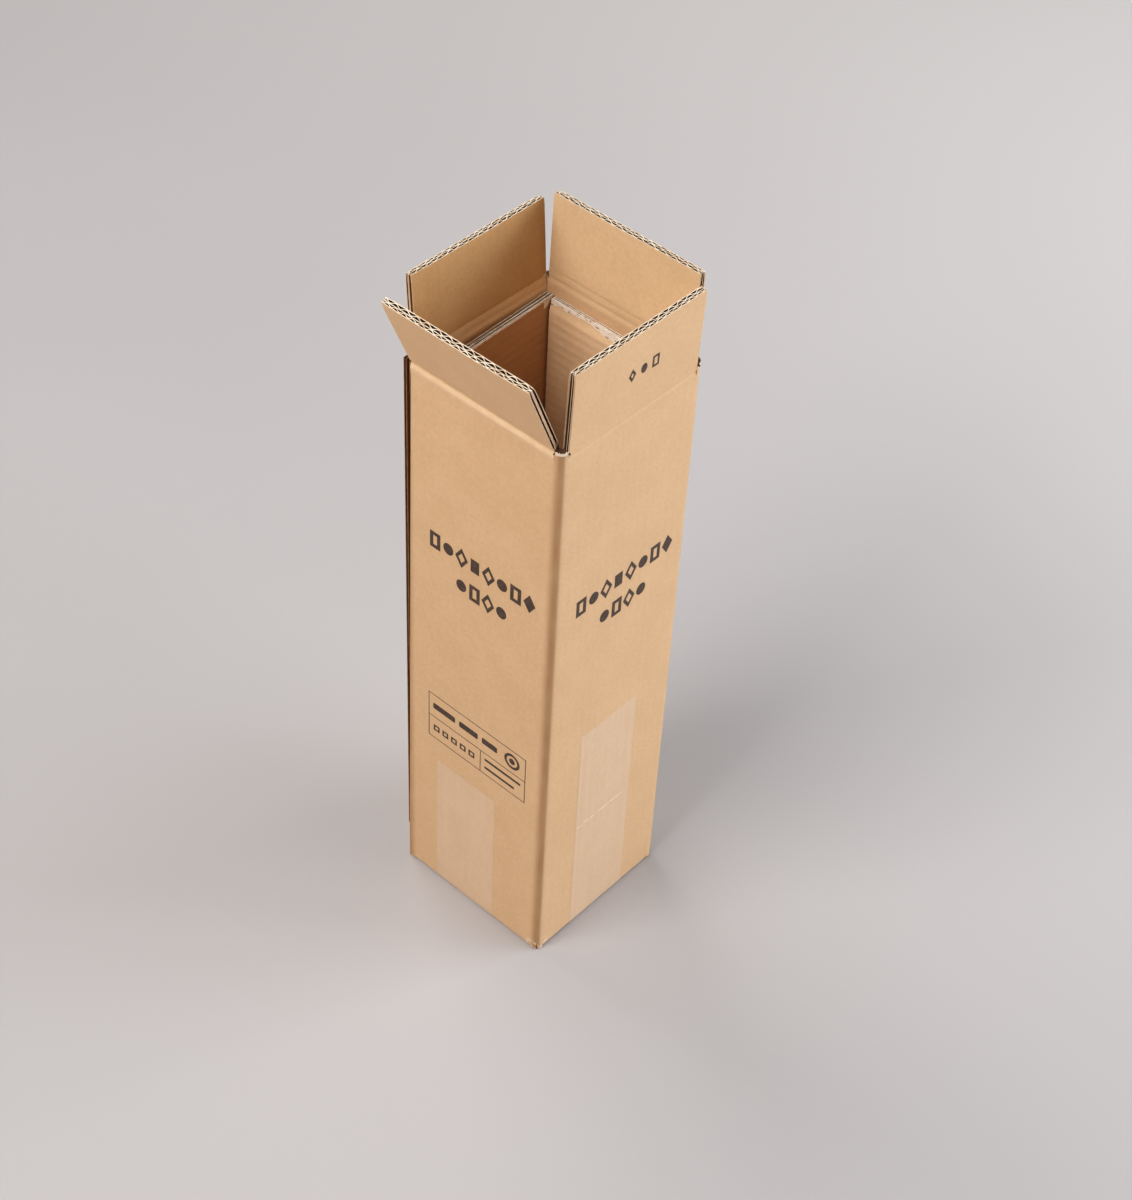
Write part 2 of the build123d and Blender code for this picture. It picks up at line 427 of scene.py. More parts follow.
@dataclass(frozen=True)
class FoldedKraft(Kraft):
    """Liner paper of the carton's walls, with its corner folds darker partly as creased paper and partly as
    painted shade, and its cut ends.

    Attributes:
        half_width: Half of the carton's width.
        half_depth: Half of the carton's depth.
        fold_reach: How far a fold's band reaches from the corner.
        pressed: Colour of the paper in a corner fold: partly the darker creased paper, partly painted shade.
        cut: Colour of pale torn paper.
        hollow: Painted shade: the dark colour between the layers of a cut end.
        cut_height: Height above which a face that points up is a cut end.
        tip_height: Height of the worn foot of the front right fold.
        slit: Painted shade: the dark colour of the split in that foot, and of the open flutes of the raw end.
        raw: Colour of the left wall's raw end.
        fibre: Colour of the fibres of that end.
        joint_low: Height at which that raw end starts.
        joint_slope: How much wider the raw end gets for each metre of height.
        joint_depth: How far back from the front face it reaches.
    """

    half_width: float = 59.0 * MM
    half_depth: float = 58.0 * MM
    fold_reach: float = 8.0 * MM
    pressed: Colour = paint(174, 129, 87)
    cut: Colour = paint(236, 212, 182)
    hollow: Colour = paint(88, 58, 36)
    cut_height: float = 420.0 * MM
    tip_height: float = 9.5 * MM
    slit: Colour = paint(104, 68, 42)
    raw: Colour = paint(156, 108, 70)
    fibre: Colour = paint(176, 128, 88)
    joint_low: float = 22.0 * MM
    joint_slope: float = 5.0 / 406.0
    joint_depth: float = 3.2 * MM

    def marks(self, place: Value, colour: Value) -> Value:
        """Darkens the corner folds, partly as creased paper and partly as painted shade, and gives the cut
        ends at the top pale fibres mottled with painted shade.
        """
        x, y, z = place.parts()
        from_side = self.half_width - abs(x)
        from_front = self.half_depth - abs(y)
        along = from_side - from_front
        # Painted shade, partly real: each corner fold gets a darker band, for the creased paper and for the
        # shade at the corner.
        soft = 1.0 - along.span(self.fold_reach * 0.1, self.fold_reach)
        sharp = along.span(-self.fold_reach * 0.5, -self.fold_reach * 0.15)
        outside = from_side.least(from_front).span(4.0 * MM, 3.0 * MM)
        worn = place.stretch(1.0, 1.0, 0.25).cloud(160.0).span(0.25, 0.7)
        colour = (soft * sharp * outside * (worn * 0.25 + 0.75)).blend(colour, self.pressed)
        colour = self.raw_edge(place, self.tip(place, colour))
        # Painted shade: faces at the top that point up get dark patches between the pale fibres, for the
        # shade between the board's layers.
        at_top = abs(place.normal()[2]).span(0.8, 0.95) * (z > self.cut_height)
        return at_top.blend(colour, place.cloud(520.0).span(0.54, 0.68).blend(self.hollow, self.cut))

    def raw_edge(self, place: Value, colour: Value) -> Value:
        """Paints the left wall's raw end beside the glued corner, with painted shade in its flutes.

        Args:
            place: Place on the paper.
            colour: Colour of the paper so far.

        Returns:
            The new colour.
        """
        x, y, z = place.parts()
        inward = x + self.half_width
        depth = y + self.half_depth
        bare = ((z - self.joint_low) * self.joint_slope > inward) * (inward > 0.08 * MM)
        fibres = place.stretch(1.0, 1.0, 0.3).cloud(700.0).span(0.35, 0.65)
        # Painted shade: the raw end's flutes turn dark further back from the front face.
        brown = depth.span(0.1 * MM, 1.2 * MM).blend(fibres.blend(self.raw, self.fibre), self.slit)
        return (bare * (depth < self.joint_depth)).blend(colour, brown)

    def tip(self, place: Value, colour: Value) -> Value:
        """Paints the worn foot of the front right fold, with pale patches and a dark split painted as shade.

        Args:
            place: Place on the paper.
            colour: Colour of the paper so far.

        Returns:
            The new colour.
        """
        x, y, z = place.parts()
        from_side = self.half_width - x
        from_front = y + self.half_depth
        near = 1.0 - (from_side + from_front).span(8.0 * MM, 10.0 * MM)
        foot = near * (1.0 - z.span(self.tip_height * 0.7, self.tip_height))
        colour = (foot * place.cloud(420.0).span(0.45, 0.6) * 0.8).blend(colour, self.cut)
        # Painted shade: a dark split line down the middle of the foot.
        line = 1.0 - abs(from_side - from_front).span(0.35 * MM, 0.9 * MM)
        short = 1.0 - z.span(self.tip_height * 0.5, self.tip_height * 0.75)
        return (foot * line * short).blend(colour, self.slit)


@dataclass(frozen=True)
class CreaseKraft(Kraft):
    """Liner paper over the creases, with a pale line below the front and back ones, partly stretching of the
    paper and partly painted highlight.

    Attributes:
        crease: Height of the front and back creases.
        side_crease: Height of the left and right creases.
        front: Distance from the middle past which a place is on the front or the back.
        side: Distance from the middle past which a place is on the left or the right.
        stretched: Colour of that pale line, partly stretching of the paper and partly painted highlight, and
            of the painted highlight along the side creases.
    """

    crease: float = 428.0 * MM
    side_crease: float = 422.5 * MM
    front: float = 55.0 * MM
    side: float = 57.4 * MM
    stretched: Colour = paint(244, 212, 172)

    def marks(self, place: Value, colour: Value) -> Value:
        """Draws the pale line, partly stretching and partly painted highlight, and a faint painted highlight
        along the crest of the left and right creases.
        """
        x, y, z = place.parts()
        below = self.crease - z
        band = below.span(0.6 * MM, 1.6 * MM) * (1.0 - below.span(2.2 * MM, 8.0 * MM))
        worn = place.stretch(1.0, 1.0, 0.4).cloud(120.0).span(0.3, 0.7)
        # Painted highlight, partly stretching of the paper: a pale line just below the front and back
        # creases, whose strength varies at random.
        line = band * abs(y).span(self.front - 0.5 * MM, self.front) * (worn * 0.25 + 0.35)
        sides = abs(x).span(self.side - 0.5 * MM, self.side)
        # Painted highlight: a faint pale crest along the left and right creases.
        ridge_highlight = (1.0 - abs(z - self.side_crease).span(0.3 * MM, 2.0 * MM)) * sides * 0.14
        return line.most(ridge_highlight).blend(colour, self.stretched)


@dataclass(frozen=True)
class TornKraft(Kraft):
    """Liner paper of the inner sleeve, torn to white fibres along its top, with painted shade on its left
    panel.

    Attributes:
        top: Height of the sleeve's top.
        back: Distance from the middle past which the back panel starts.
        torn: Colour of the bared fibres.
        ragged: Colour of the deepest tears.
        shade: Painted shade: a darker colour on the left panel, for the shade inside the sleeve there.
        slant: How far that panel leans out of line with its neighbours, over its width.
        panel: Places on X between which the paper turns into that panel's painted shade.
        reach: How far down the tears reach.
        back_reach: How much further they reach on the back panel.
    """

    top: float = 418.0 * MM
    back: float = 44.5 * MM
    torn: Colour = paint(248, 236, 220)
    ragged: Colour = paint(150, 118, 92)
    shade: Colour = paint(184, 137, 99)
    slant: float = 0.034
    panel: tuple[float, float] = (-45.9 * MM, -46.4 * MM)
    reach: float = 1.8 * MM
    back_reach: float = 5.2 * MM

    def marks(self, place: Value, colour: Value) -> Value:
        """Paints shade on the left panel as a darker colour, and bares a ragged band of fibres along the top.
        """
        x, y, z = place.parts()
        # Painted shade: the left panel's paper turns darker, for the shade inside the sleeve there.
        colour = (x + y * self.slant).span(*self.panel).blend(colour, self.shade)
        waves = place.stretch(1.0, 1.0, 0.2).cloud(38.0, 2.0).span(0.34, 0.66)
        reach = waves * self.back_reach * (y > self.back) + place.cloud(340.0) * self.reach
        band = (reach - (self.top - z)).span(-0.25 * MM, 0.25 * MM)
        tears = place.stretch(1.0, 1.0, 2.5).cloud(260.0).span(0.56, 0.64)
        return (band * 0.9).blend(colour, tears.blend(self.torn, self.ragged))


@dataclass(frozen=True)
class CutPaper(Finish):
    """Fibrous cut or torn edge of paper.

    Attributes:
        pale: Colour of the loose fibres.
        brown: Colour between them.
        side: Colour of an edge that was cut along the flutes and stands upright.
        coarse: Waves of the pattern to the metre.
    """

    pale: Colour = paint(244, 224, 198)
    brown: Colour = paint(216, 184, 150)
    side: Colour = paint(186, 144, 106)
    coarse: float = 700.0

    def sockets(self, place: Value) -> dict[str, object]:
        """The fibres' colour, roughness and bump."""
        clumps = place.cloud(self.coarse, 4.0)
        mask = (clumps * 0.6 + place.cloud(self.coarse * 0.2, 2.0) * 0.4).span(0.38, 0.56)
        upright = 1.0 - abs(place.normal()[2]).span(0.3, 0.6)
        return {
            "Base Color": (upright * 0.75).blend(mask.blend(self.brown, self.pale), self.side),
            "Roughness": mask * 0.15 + 0.8,
            "Normal": clumps.bump(0.2 * MM),
            "Specular IOR Level": 0.2,
        }


@dataclass(frozen=True)
class Film(Kraft):
    """Board seen through clear packing tape: milky streaks, small bubbles and a gloss.

    Attributes:
        milk: Colour that the film lays over the board.
        cover: How much of the board it hides, from 0 to 1.
        axis: Axis across the strip, 0 for X and 1 for Y.
        edges: Places of the strip's two long edges on that axis.
        crinkle_height: Height of a white crinkle on the right face, or 0 for none.
        crinkle_wave: How far that crinkle wanders up and down.
        white: Its colour.
    """

    milk: Colour = paint(236, 220, 208)
    cover: float = 0.16
    axis: int = 0
    edges: tuple[float, float] = (-25 * MM, 25 * MM)
    crinkle_height: float = 0.0
    crinkle_wave: float = 3.2 * MM
    white: Colour = paint(250, 236, 212)
    gloss: float = 0.35

    def marks(self, place: Value, colour: Value) -> Value:
        """Lays the film over the paper."""
        streaks = place.stretch(1.0, 1.0, 0.04).cloud(190.0).span(0.35, 0.7)
        bubbles = place.cloud(170.0, 4.0).span(0.58, 0.72)
        cover = (streaks * 0.3 + bubbles * 0.4 + 0.8) * self.cover
        across = place.parts()[self.axis]
        first, last = (abs(across - edge) for edge in self.edges)
        rim = 1.0 - first.least(last).span(0.25 * MM, 0.8 * MM)
        colour = cover.most(rim * (self.cover * 1.7)).blend(colour, self.milk)
        return self.crinkle(place).blend(colour, self.white) if self.crinkle_height else colour

    def crinkle(self, place: Value) -> Value:
        """A broken line across the strip on the right face, as a mask.

        Args:
            place: Place on the strip.

        Returns:
            The mask.
        """
        x, _, z = place.parts()
        wave = (place.cloud(70.0) - 0.5) * self.crinkle_wave
        near = 1.0 - abs(z + wave - self.crinkle_height).span(0.15 * MM, 0.55 * MM)
        return near * place.cloud(260.0, 2.0).span(0.4, 0.52) * x.span(0.0, 1.0 * MM) * 0.8


@dataclass(frozen=True)
class Ink(Finish):
    """Dark brown printing ink that lets a few fibres show.

    Attributes:
        dark: Colour of full ink.
        thin: Colour where the ink is thin.
    """

    dark: Colour = paint(58, 42, 34)
    thin: Colour = paint(112, 84, 62)

    def sockets(self, place: Value) -> dict[str, object]:
        """The ink's colour, roughness and bump."""
        height = shared(place.tree, paper_fibres, Vector=place)[2]
        share = height.span(0.45, 0.65) * 0.6
        return {
            "Base Color": share.blend(self.dark, self.thin),
            "Roughness": share * 0.3 + 0.55,
            "Normal": height.bump(0.08 * MM),
            "Specular IOR Level": 0.3,
        }


@dataclass(frozen=True)
class FloorPaper(Finish):
    """The pale floor, with painted light: lighter far behind the carton and towards its right.

    Attributes:
        cool: Colour of its darker clouds.
        warm: Colour of its lighter clouds.
        far: Painted light: the lighter colour far behind the carton.
    """

    cool: Colour = paint(181, 175, 173)
    warm: Colour = paint(188, 182, 180)
    far: Colour = paint(214, 207, 203)

    def sockets(self, place: Value) -> dict[str, object]:
        """The floor's colour and roughness."""
        cloud = place.cloud(2.0, 2.0)
        x, y, _ = place.parts()
        # Painted light: the floor turns lighter behind the carton and towards its right.
        behind = (y + x * 0.22).span(0.0, 1.3)
        return {
            "Base Color": behind.blend(cloud.blend(self.cool, self.warm), self.far),
            "Roughness": cloud * 0.1 + 0.85,
            "Specular IOR Level": 0.1,
        }


OUTER_PAPER = Kraft("liner_outside")
INNER_PAPER = Kraft(
    "liner_inside", base=paint(224, 188, 144), deep=paint(214, 177, 133), pitch=7.8 * MM, ribs=0.4
)
# Painted shade: a darker copy of the inner paper for the left flap's inner face, for the shade that the other
# flaps cast on it.
SHADED_PAPER = replace(
    INNER_PAPER, name="liner_inside_left", base=paint(197, 153, 102), deep=paint(186, 141, 92)
)
CREASE_PAPER_OUT = CreaseKraft("liner_crease_outside", place=Place.REST, ribs=0.0)
CREASE_PAPER_IN = replace(INNER_PAPER, name="liner_crease_inside", place=Place.REST, pitch=6.4 * MM, ribs=0.0)
WALL_PAPER = FoldedKraft("liner_walls")
# The sleeve's paper, whose left panel carries painted shade.
SLEEVE_PAPER = TornKraft(
    "liner_sleeve", base=paint(240, 205, 161), deep=paint(229, 192, 148), lines=Lines.LEVEL, ribs=0.3
)
# Painted shade: the fluting and the liners' inner faces get a near-black brown, for the shade inside the
# flutes.
FLUTE_PAPER_PAINTED_SHADE = Kraft(
    "flute_paper", base=paint(96, 62, 37), deep=paint(68, 43, 26), lines=Lines.LEVEL, ribs=0.0
)
TORN_FIBRES = Kraft("torn_fibres", base=paint(244, 226, 202), deep=paint(214, 182, 148), ribs=0.0)
EDGE_PAPER = CutPaper("cut_edge")
CREASE_EDGE = CutPaper("cut_edge_crease", place=Place.REST)
TORN_PAPER = CutPaper("torn_edge", pale=paint(250, 240, 228), brown=paint(222, 196, 168), coarse=420.0)
PRINT_INK = Ink("printing_ink")
FLOOR_PAPER = FloorPaper("floor_paper")


@dataclass(frozen=True)
class Layer:
    """One layer of the board's section.

    Attributes:
        depth: Depth of its outer side below the board's outer face.
        height: Height of the layer.
        pitch: Pitch of its waves, or 0 for a flat liner.
    """

    depth: float
    height: float
    pitch: float = 0.0


@dataclass(frozen=True)
class Board:
    """Section of the double-wall board.

    Attributes:
        liner: Thickness of a flat liner.
        medium: Thickness of a wavy paper.
        low: Height and pitch of the low flutes.
        high: Height and pitch of the high flutes.
    """

    liner: float = 0.45 * MM
    medium: float = 0.5 * MM
    low: tuple[float, float] = (1.6 * MM, 6.4 * MM)
    high: tuple[float, float] = (2.05 * MM, 7.8 * MM)

    @property
    def thickness(self) -> float:
        """Thickness of the whole board."""
        return 3 * self.liner + self.low[0] + self.high[0]

    def layers(self, low_first: bool) -> list[Layer]:
        """The five layers, from the outer face inwards.

        Args:
            low_first: True where the low flutes lie next to the outer liner.

        Returns:
            Liner, flutes, liner, flutes and liner.
        """
        rows = [self.low, self.high] if low_first else [self.high, self.low]
        found = [Layer(0.0, self.liner)]
        depth = self.liner
        for height, pitch in rows:
            found.append(Layer(depth, height, pitch))
            depth += height
            found.append(Layer(depth, self.liner))
            depth += self.liner
        return found


BOARD = Board()


class Gathered:
    """Shapes that are gathered in one mesh."""

    def __init__(self) -> None:
        """Starts with no shape."""
        self.bm = bmesh.new()

    def keep(self, part: bmesh.types.BMesh) -> None:
        """Adds a finished shape, and frees it.

        Args:
            part: The shape.
        """
        spare = bpy.data.meshes.new("spare")
        part.to_mesh(spare)
        part.free()
        self.bm.from_mesh(spare)
        bpy.data.meshes.remove(spare)

    def move(self, matrix: Matrix) -> None:
        """Moves all that was gathered."""
        bmesh.ops.transform(self.bm, matrix=matrix, verts=self.bm.verts[:])

    def face_outwards(self) -> None:
        """Turns every face outwards."""
        bmesh.ops.recalc_face_normals(self.bm, faces=self.bm.faces[:])

    def settle(self, name: str, finishes: list[Finish]) -> bpy.types.Object:
        """Turns the shapes into an object.

        Args:
            name: Name of the object.
            finishes: Finish of each material slot.

        Returns:
            The linked object, at the origin.
        """
        mesh = bpy.data.meshes.new(name)
        self.bm.to_mesh(mesh)
        self.bm.free()
        for finish in finishes:
            mesh.materials.append(finish.material())
        LOG.info("%s: %d faces", name, len(mesh.polygons))
        return link(name, mesh)


def link(name: str, data: bpy.types.ID) -> bpy.types.Object:
    """A new object in the scene, at the origin.

    Args:
        name: Name of the object.
        data: Its mesh, lamp or camera.

    Returns:
        The object.
    """
    made = bpy.data.objects.new(name, data)
    bpy.context.scene.collection.objects.link(made)
    return made


@dataclass(frozen=True)
class Faces:
    """Finishes of one sheet's two faces and its cut rim."""

    # By default both faces take the flute paper with painted shade.
    outside: Finish = FLUTE_PAPER_PAINTED_SHADE
    inside: Finish = FLUTE_PAPER_PAINTED_SHADE
    rim: Finish = EDGE_PAPER


class PaperMesh(Gathered):
    """Thin sheets of paper in one mesh."""

    sharp_angle = math.radians(40)

    def __init__(self) -> None:
        """Starts with no sheet and no finish."""
        super().__init__()
        self.finishes: list[Finish] = []

    def slot(self, finish: Finish) -> int:
        """Number of a finish's material slot, which is added at its first use."""
        if finish not in self.finishes:
            self.finishes.append(finish)
        return self.finishes.index(finish)

    def sheet(
        self, across: list[float], up: list[float], shape: Shape, thickness: float, faces: Faces
    ) -> None:
        """Lays out one sheet and gives it a thickness.

        Args:
            across: Shares of the sheet's width at which it has a column of points.
            up: Shares of the sheet's height at which it has a row of points.
            shape: Place of the outer face at two shares.
            thickness: Thickness of the paper.
            faces: Finishes of the sheet.
        """
        outside, inside, rim = (self.slot(finish) for finish in (faces.outside, faces.inside, faces.rim))
        part = bmesh.new()
        columns = len(across) - 1
        rows = len(up) - 1
        bmesh.ops.create_grid(part, x_segments=columns, y_segments=rows, size=0.5)
        for vert in part.verts:
            column = round((vert.co.x + 0.5) * columns)
            row = round((vert.co.y + 0.5) * rows)
            vert.co = shape(across[column], up[row])
        part.normal_update()
        first = set(part.verts)
        bmesh.ops.solidify(part, geom=part.faces[:], thickness=thickness)
        for face in part.faces:
            known = sum(vert in first for vert in face.verts)
            whole = known == len(face.verts)
            face.material_index = outside if whole else (rim if known else inside)
            face.smooth = True
        self.keep(part)

    def piece(self, name: str, slot: str, rest_place: bool = False) -> bpy.types.Object:
        """Makes the piece.

        Args:
            name: Name of the piece.
            slot: The record's material slot; not used.
            rest_place: True to keep each point's place at rest as an attribute.

        Returns:
            The linked object, at the origin.
        """
        made = self.settle(name, self.finishes)
        mesh = made.data
        mesh.shade_smooth()
        mesh.set_sharp_from_angle(angle=self.sharp_angle)
        if rest_place:
            kept = mesh.attributes.new(Place.REST.value, "FLOAT_VECTOR", "POINT")
            for number, vert in enumerate(mesh.vertices):
                kept.data[number].vector = vert.co
        return made


class Side(Enum):
    """The four sides of the carton, with their turn from the front in degrees."""

    FRONT = 0
    RIGHT = 90
    BACK = 180
    LEFT = 270

    @property
    def label(self) -> str:
        """The side's name in the names of nodes and joints."""
        return self.name.lower()

    @property
    def turn(self) -> Matrix:
        """The turn that takes the front side to this one."""
        return Matrix.Rotation(math.radians(self.value), 4, "Z")


@dataclass(frozen=True)
class Hinge:
    """Crease of one top flap, measured on its side as if that side were the front.

    Attributes:
        side: Side of the carton.
        web: Depth of the pinched web below the outer face.
        face: Distance from the middle of the carton to the outer face.
        crease: Height of the web.
        half: Half of the flap's width.
        length: Length of the flap from the web to its tip.
        lean: How far the flap leans outwards at rest.
    """

    side: Side
    web: float
    face: float
    crease: float
    half: float
    length: float
    lean: float

    @classmethod
    def from_frame(cls, side: Side) -> "Hinge":
        """Reads the crease of one side from the frame.

        Args:
            side: Side of the carton.

        Returns:
            The side's hinge.
        """
        web = 1.0 * MM
        joint = next(j for j in frame["joints"] if j["name"] == f"{side.label}_crease")
        place = Vector(joint["pos_m"])
        lean = math.radians(-joint["range_deg"][0] - 90)
        low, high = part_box(f"flap_{side.label}")
        spread = (high - low) / 2
        half = spread.x if side in (Side.FRONT, Side.BACK) else spread.y
        inner_rise = (BOARD.thickness - web) * math.sin(lean)
        length = (high.z - place.z - inner_rise) / math.cos(lean)
        return cls(side, web, place.xy.length + web, place.z, half, length, lean)

    @property
    def body(self) -> str:
        """The body that turns at this crease."""
        return f"{self.side.label}_flap"

    def wall(self, below: float = 0.0) -> Matrix:
        """Takes a place on the wall, measured from so far below the crease, into the row's frame."""
        return self.side.turn @ Matrix.Translation((0.0, -self.face, self.crease - below))

    def turned(self, angle: float) -> Matrix:
        """The wall's matrix after a turn about the web."""
        back = Matrix.Translation((0.0, self.web, 0.0))
        return self.wall() @ back @ Matrix.Rotation(angle, 4, "X") @ back.inverted()

    def flap(self) -> Matrix:
        """Takes a place on the flap, measured from the crease, into the row's frame."""
        return self.turned(self.lean)


HINGES = {side: Hinge.from_frame(side) for side in Side}


@dataclass
class LayeredFlap:
    """A top flap of real layers: three liners and two wavy papers, pinched at the crease.

    Attributes:
        hinge: Crease that the flap turns at.
        outer_rise: Height over which the outer side is pinched.
        inner_rise: Height over which the inner side is pinched.
        foot: Height at which the sheets start above the web.
        room: Height over which the inner side stays clear of the wall when shut.
        seed: Number that picks the flap's own irregularities.
        bow: How far the flap is bent out of its plane.
        rib: Height of the ribs on its liners.
        jag: How uneven the cut at the tip is.
        tip_reach: How far from the tip the board is crushed.
        end_reach: How far from the tip's two ends it is crushed more.
        side_reach: How far from its sides the board is crushed a little.
    """

    hinge: Hinge
    outer_rise: float = 2.64 * MM
    inner_rise: float = 4.17 * MM
    foot: float = 0.8 * MM
    room: float = 0.75 * MM
    seed: float = 0.0
    bow: float = 0.22 * MM
    rib: float = 0.035 * MM
    jag: float = 0.16 * MM
    tip_reach: float = 2.2 * MM
    end_reach: float = 5.0 * MM
    side_reach: float = 1.2 * MM

    def crush(self, x: float, z: float) -> float:
        """How much of the board's thickness is left at a place.

        Args:
            x: Place along the crease.
            z: Height above the web.

        Returns:
            The share that is left, up to 1.
        """
        to_side = max(self.hinge.half - abs(x), 0.0)
        tip = math.exp(-(self.hinge.length - z) / self.tip_reach)
        end = math.exp(-to_side / self.end_reach)
        side = math.exp(-to_side / self.side_reach)
        uneven = 0.5 + 0.5 * wander(x, z, 7.0 * MM, self.seed + 3.0)
        return 1.0 - tip * (0.05 + 0.1 * uneven + 0.2 * end) - side * 0.06

    def place(self, x: float, depth: float, z: float) -> Vector:
        """A place in the board, pinched at the crease and crushed at the cut edges.

        Args:
            x: Place along the crease.
            depth: Depth below the outer face.
            z: Height above the web.

        Returns:
            The place on the flap as if it stood upright.
        """
        middle = BOARD.thickness / 2
        depth = middle + (depth - middle) * self.crush(x, z)
        outer = depth < self.hinge.web
        rise = self.outer_rise if outer else self.inner_rise
        pinch = clamp((z - (0.1 * MM if outer else self.room)) / rise, 0.05, 1.0)
        depth = self.hinge.web + (depth - self.hinge.web) * pinch
        bow = self.bow * ease(z, 6 * MM, self.hinge.length) * wander(x, z, 45 * MM, self.seed + 8.0)
        return Vector((x, depth + bow, z))

    def height(self, x: float, share: float, number: int) -> float:
        """Height of a row of points of one layer, with an uneven cut at the tip."""
        jagged = self.jag * (1 + wander(x, number * 5 * MM, 2.6 * MM, self.seed))
        return self.foot + (self.hinge.length - jagged - self.foot) * share

    def wave(self, layer: Layer, x: float, z: float) -> float:
        """Height of a wavy paper at a place, from 0 on the outer liner to 1 on the inner one.

        Args:
            layer: The row of flutes.
            x: Place along the crease.
            z: Height above the web.

        Returns:
            The height's share.
        """
        drift = 0.1 * layer.pitch * wander(x, z * 0.3, 16 * MM, self.seed + layer.pitch / MM)
        bend = math.sin(math.tau * (x + drift) / layer.pitch)
        return 0.5 + 0.5 * bend * (1.15 - 0.15 * bend * bend)

    def layer(self, mesh: PaperMesh, number: int, faces: Faces, ribs: float) -> None:
        """Adds a wavy paper, or a flat liner with the faint ribs of the flutes beside it.

        Args:
            mesh: Mesh that takes the sheet.
            number: Place of the layer in the section.
            faces: Finishes of the sheet.
            ribs: Pitch of the ribs on a liner.
        """
        layer = BOARD.layers(low_first=True)[number]
        wavy = layer.pitch > 0

        def shape(u: float, v: float) -> Vector:
            """Place of the outer face at a share of the width and of the height."""
            x = (2 * u - 1) * self.hinge.half
            z = self.height(x, v, number)
            if wavy:
                rise = (layer.height - BOARD.medium) * self.wave(layer, x, z)
            else:
                rise = self.rib * math.cos(math.tau * x / ribs) * ease(z, 4 * MM, 12 * MM)
            return self.place(x, layer.depth + rise, z)

        steps, rows = (12, 16) if wavy else (8, 20)
        columns = round(2 * self.hinge.half / (layer.pitch or ribs) * steps)
        thickness = BOARD.medium if wavy else layer.height
        mesh.sheet(even(columns), close_at_ends(rows), shape, thickness, faces)

    def build(self) -> bpy.types.Object:
        """Builds the flap in place of its solid.

        Returns:
            The finished piece.
        """
        mesh = PaperMesh()
        # The left flap's inner liner takes the copy with painted shade; faces inside the board take the flute
        # paper with painted shade.
        inner = SHADED_PAPER if self.hinge.side is Side.LEFT else INNER_PAPER
        self.layer(mesh, 0, Faces(outside=OUTER_PAPER), BOARD.low[1])
        for number in (1, 2, 3):
            self.layer(mesh, number, Faces(), BOARD.high[1])
        self.layer(mesh, 4, Faces(inside=inner), BOARD.high[1])
        mesh.move(self.hinge.flap())
        made = mesh.piece(f"layers_{self.hinge.side.label}", "board")
        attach(made, self.hinge.body)
        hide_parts(f"flap_{self.hinge.side.label}")
        return made


@dataclass
class CreaseSkin:
    """Paper that runs over a crease from the wall to its flap, bent to the flap's lean at rest.

    Attributes:
        hinge: Crease that the paper crosses.
        inside: True for the inner liner, False for the outer one.
        wall_reach: How far the paper reaches down the wall.
        flap_reach: How far the paper reaches up the flap.
        bend: How far from the crease the paper bends with the flap, on both sides.
        proud: How far the paper stands off the solids below it.
        spare: How much wider than the flap the paper is on the wall.
        swell: How far the wall swells out just below the crease.
        paper: Thickness of the paper.
        columns: Steps of its mesh along the crease.
        rows: Steps of its mesh across the crease.
    """

    hinge: Hinge
    inside: bool
    wall_reach: float = 5.0 * MM
    flap_reach: float = 5.0 * MM
    bend: float = 5.0 * MM
    proud: float = 0.04 * MM
    spare: float = 0.3 * MM
    swell: float = 0.0
    paper: float = 0.16 * MM
    columns: int = 72
    rows: int = 30

    def depth(self, x: float, s: float) -> float:
        """Depth of the paper below the outer face at a distance from the crease.

        Args:
            x: Place along the crease.
            s: Distance up from the crease, below 0 on the wall.

        Returns:
            The depth.
        """
        reach = self.wall_reach if s < 0 else self.flap_reach
        lift = self.proud * (1 - 1.8 * ease(abs(s), reach * 0.6, reach))
        uneven = 1 + 0.35 * wander(x, 0.0, 9 * MM, self.hinge.side.value + 40.0 * self.inside)
        if self.inside:
            dent = 0.32 * MM * bell(s - 0.2 * MM, 1.6 * MM) * uneven
            return BOARD.thickness + lift - (dent - 0.14 * MM * bell(s + 3.0 * MM, 1.8 * MM))
        dent = 0.62 * MM * bell(s, 1.25 * MM) * uneven + 0.2 * MM * bell(s + 0.8 * MM, 2.6 * MM)
        return dent - lift - self.swell * bell(s + 3.3 * MM, 1.9 * MM)

    def shape(self, u: float, v: float) -> Vector:
        """Place of a point of the paper in the row's frame.

        Args:
            u: Share of the paper's width.
            v: Share of its height.

        Returns:
            The place.
        """
        s = -self.wall_reach + (self.wall_reach + self.flap_reach) * v
        half = self.hinge.half + self.spare * (1 - ease(s, -1.5 * MM, 0.3 * MM)) - 0.04 * MM
        x = (2 * u - 1) * half
        turned = self.hinge.turned(self.hinge.lean * ease(s, -self.bend, self.bend))
        return turned @ Vector((x, self.depth(x, s), s))

    def build(self) -> bpy.types.Object:
        """Builds the paper, bent over the crease between the wall and the flap at rest.

        Returns:
            The finished piece.
        """
        mesh = PaperMesh()
        thickness = -self.paper if self.inside else self.paper
        paper = CREASE_PAPER_IN if self.inside else CREASE_PAPER_OUT
        faces = Faces(paper, paper, CREASE_EDGE)
        mesh.sheet(even(self.columns), even(self.rows), self.shape, thickness, faces)
        if self.inside:
            mesh.face_outwards()
        name = f"crease_{'inner' if self.inside else 'outer'}_{self.hinge.side.label}"
        made = mesh.piece(name, "board", rest_place=True)
        depth = BOARD.thickness if self.inside else 0.0
        start = self.hinge.wall() @ Vector((0.0, depth, -self.bend))
        end = self.hinge.flap() @ Vector((0.0, depth, self.bend))
        self.hinge.body
        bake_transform(made)
        return made


Station = tuple[Vector, Vector, int]


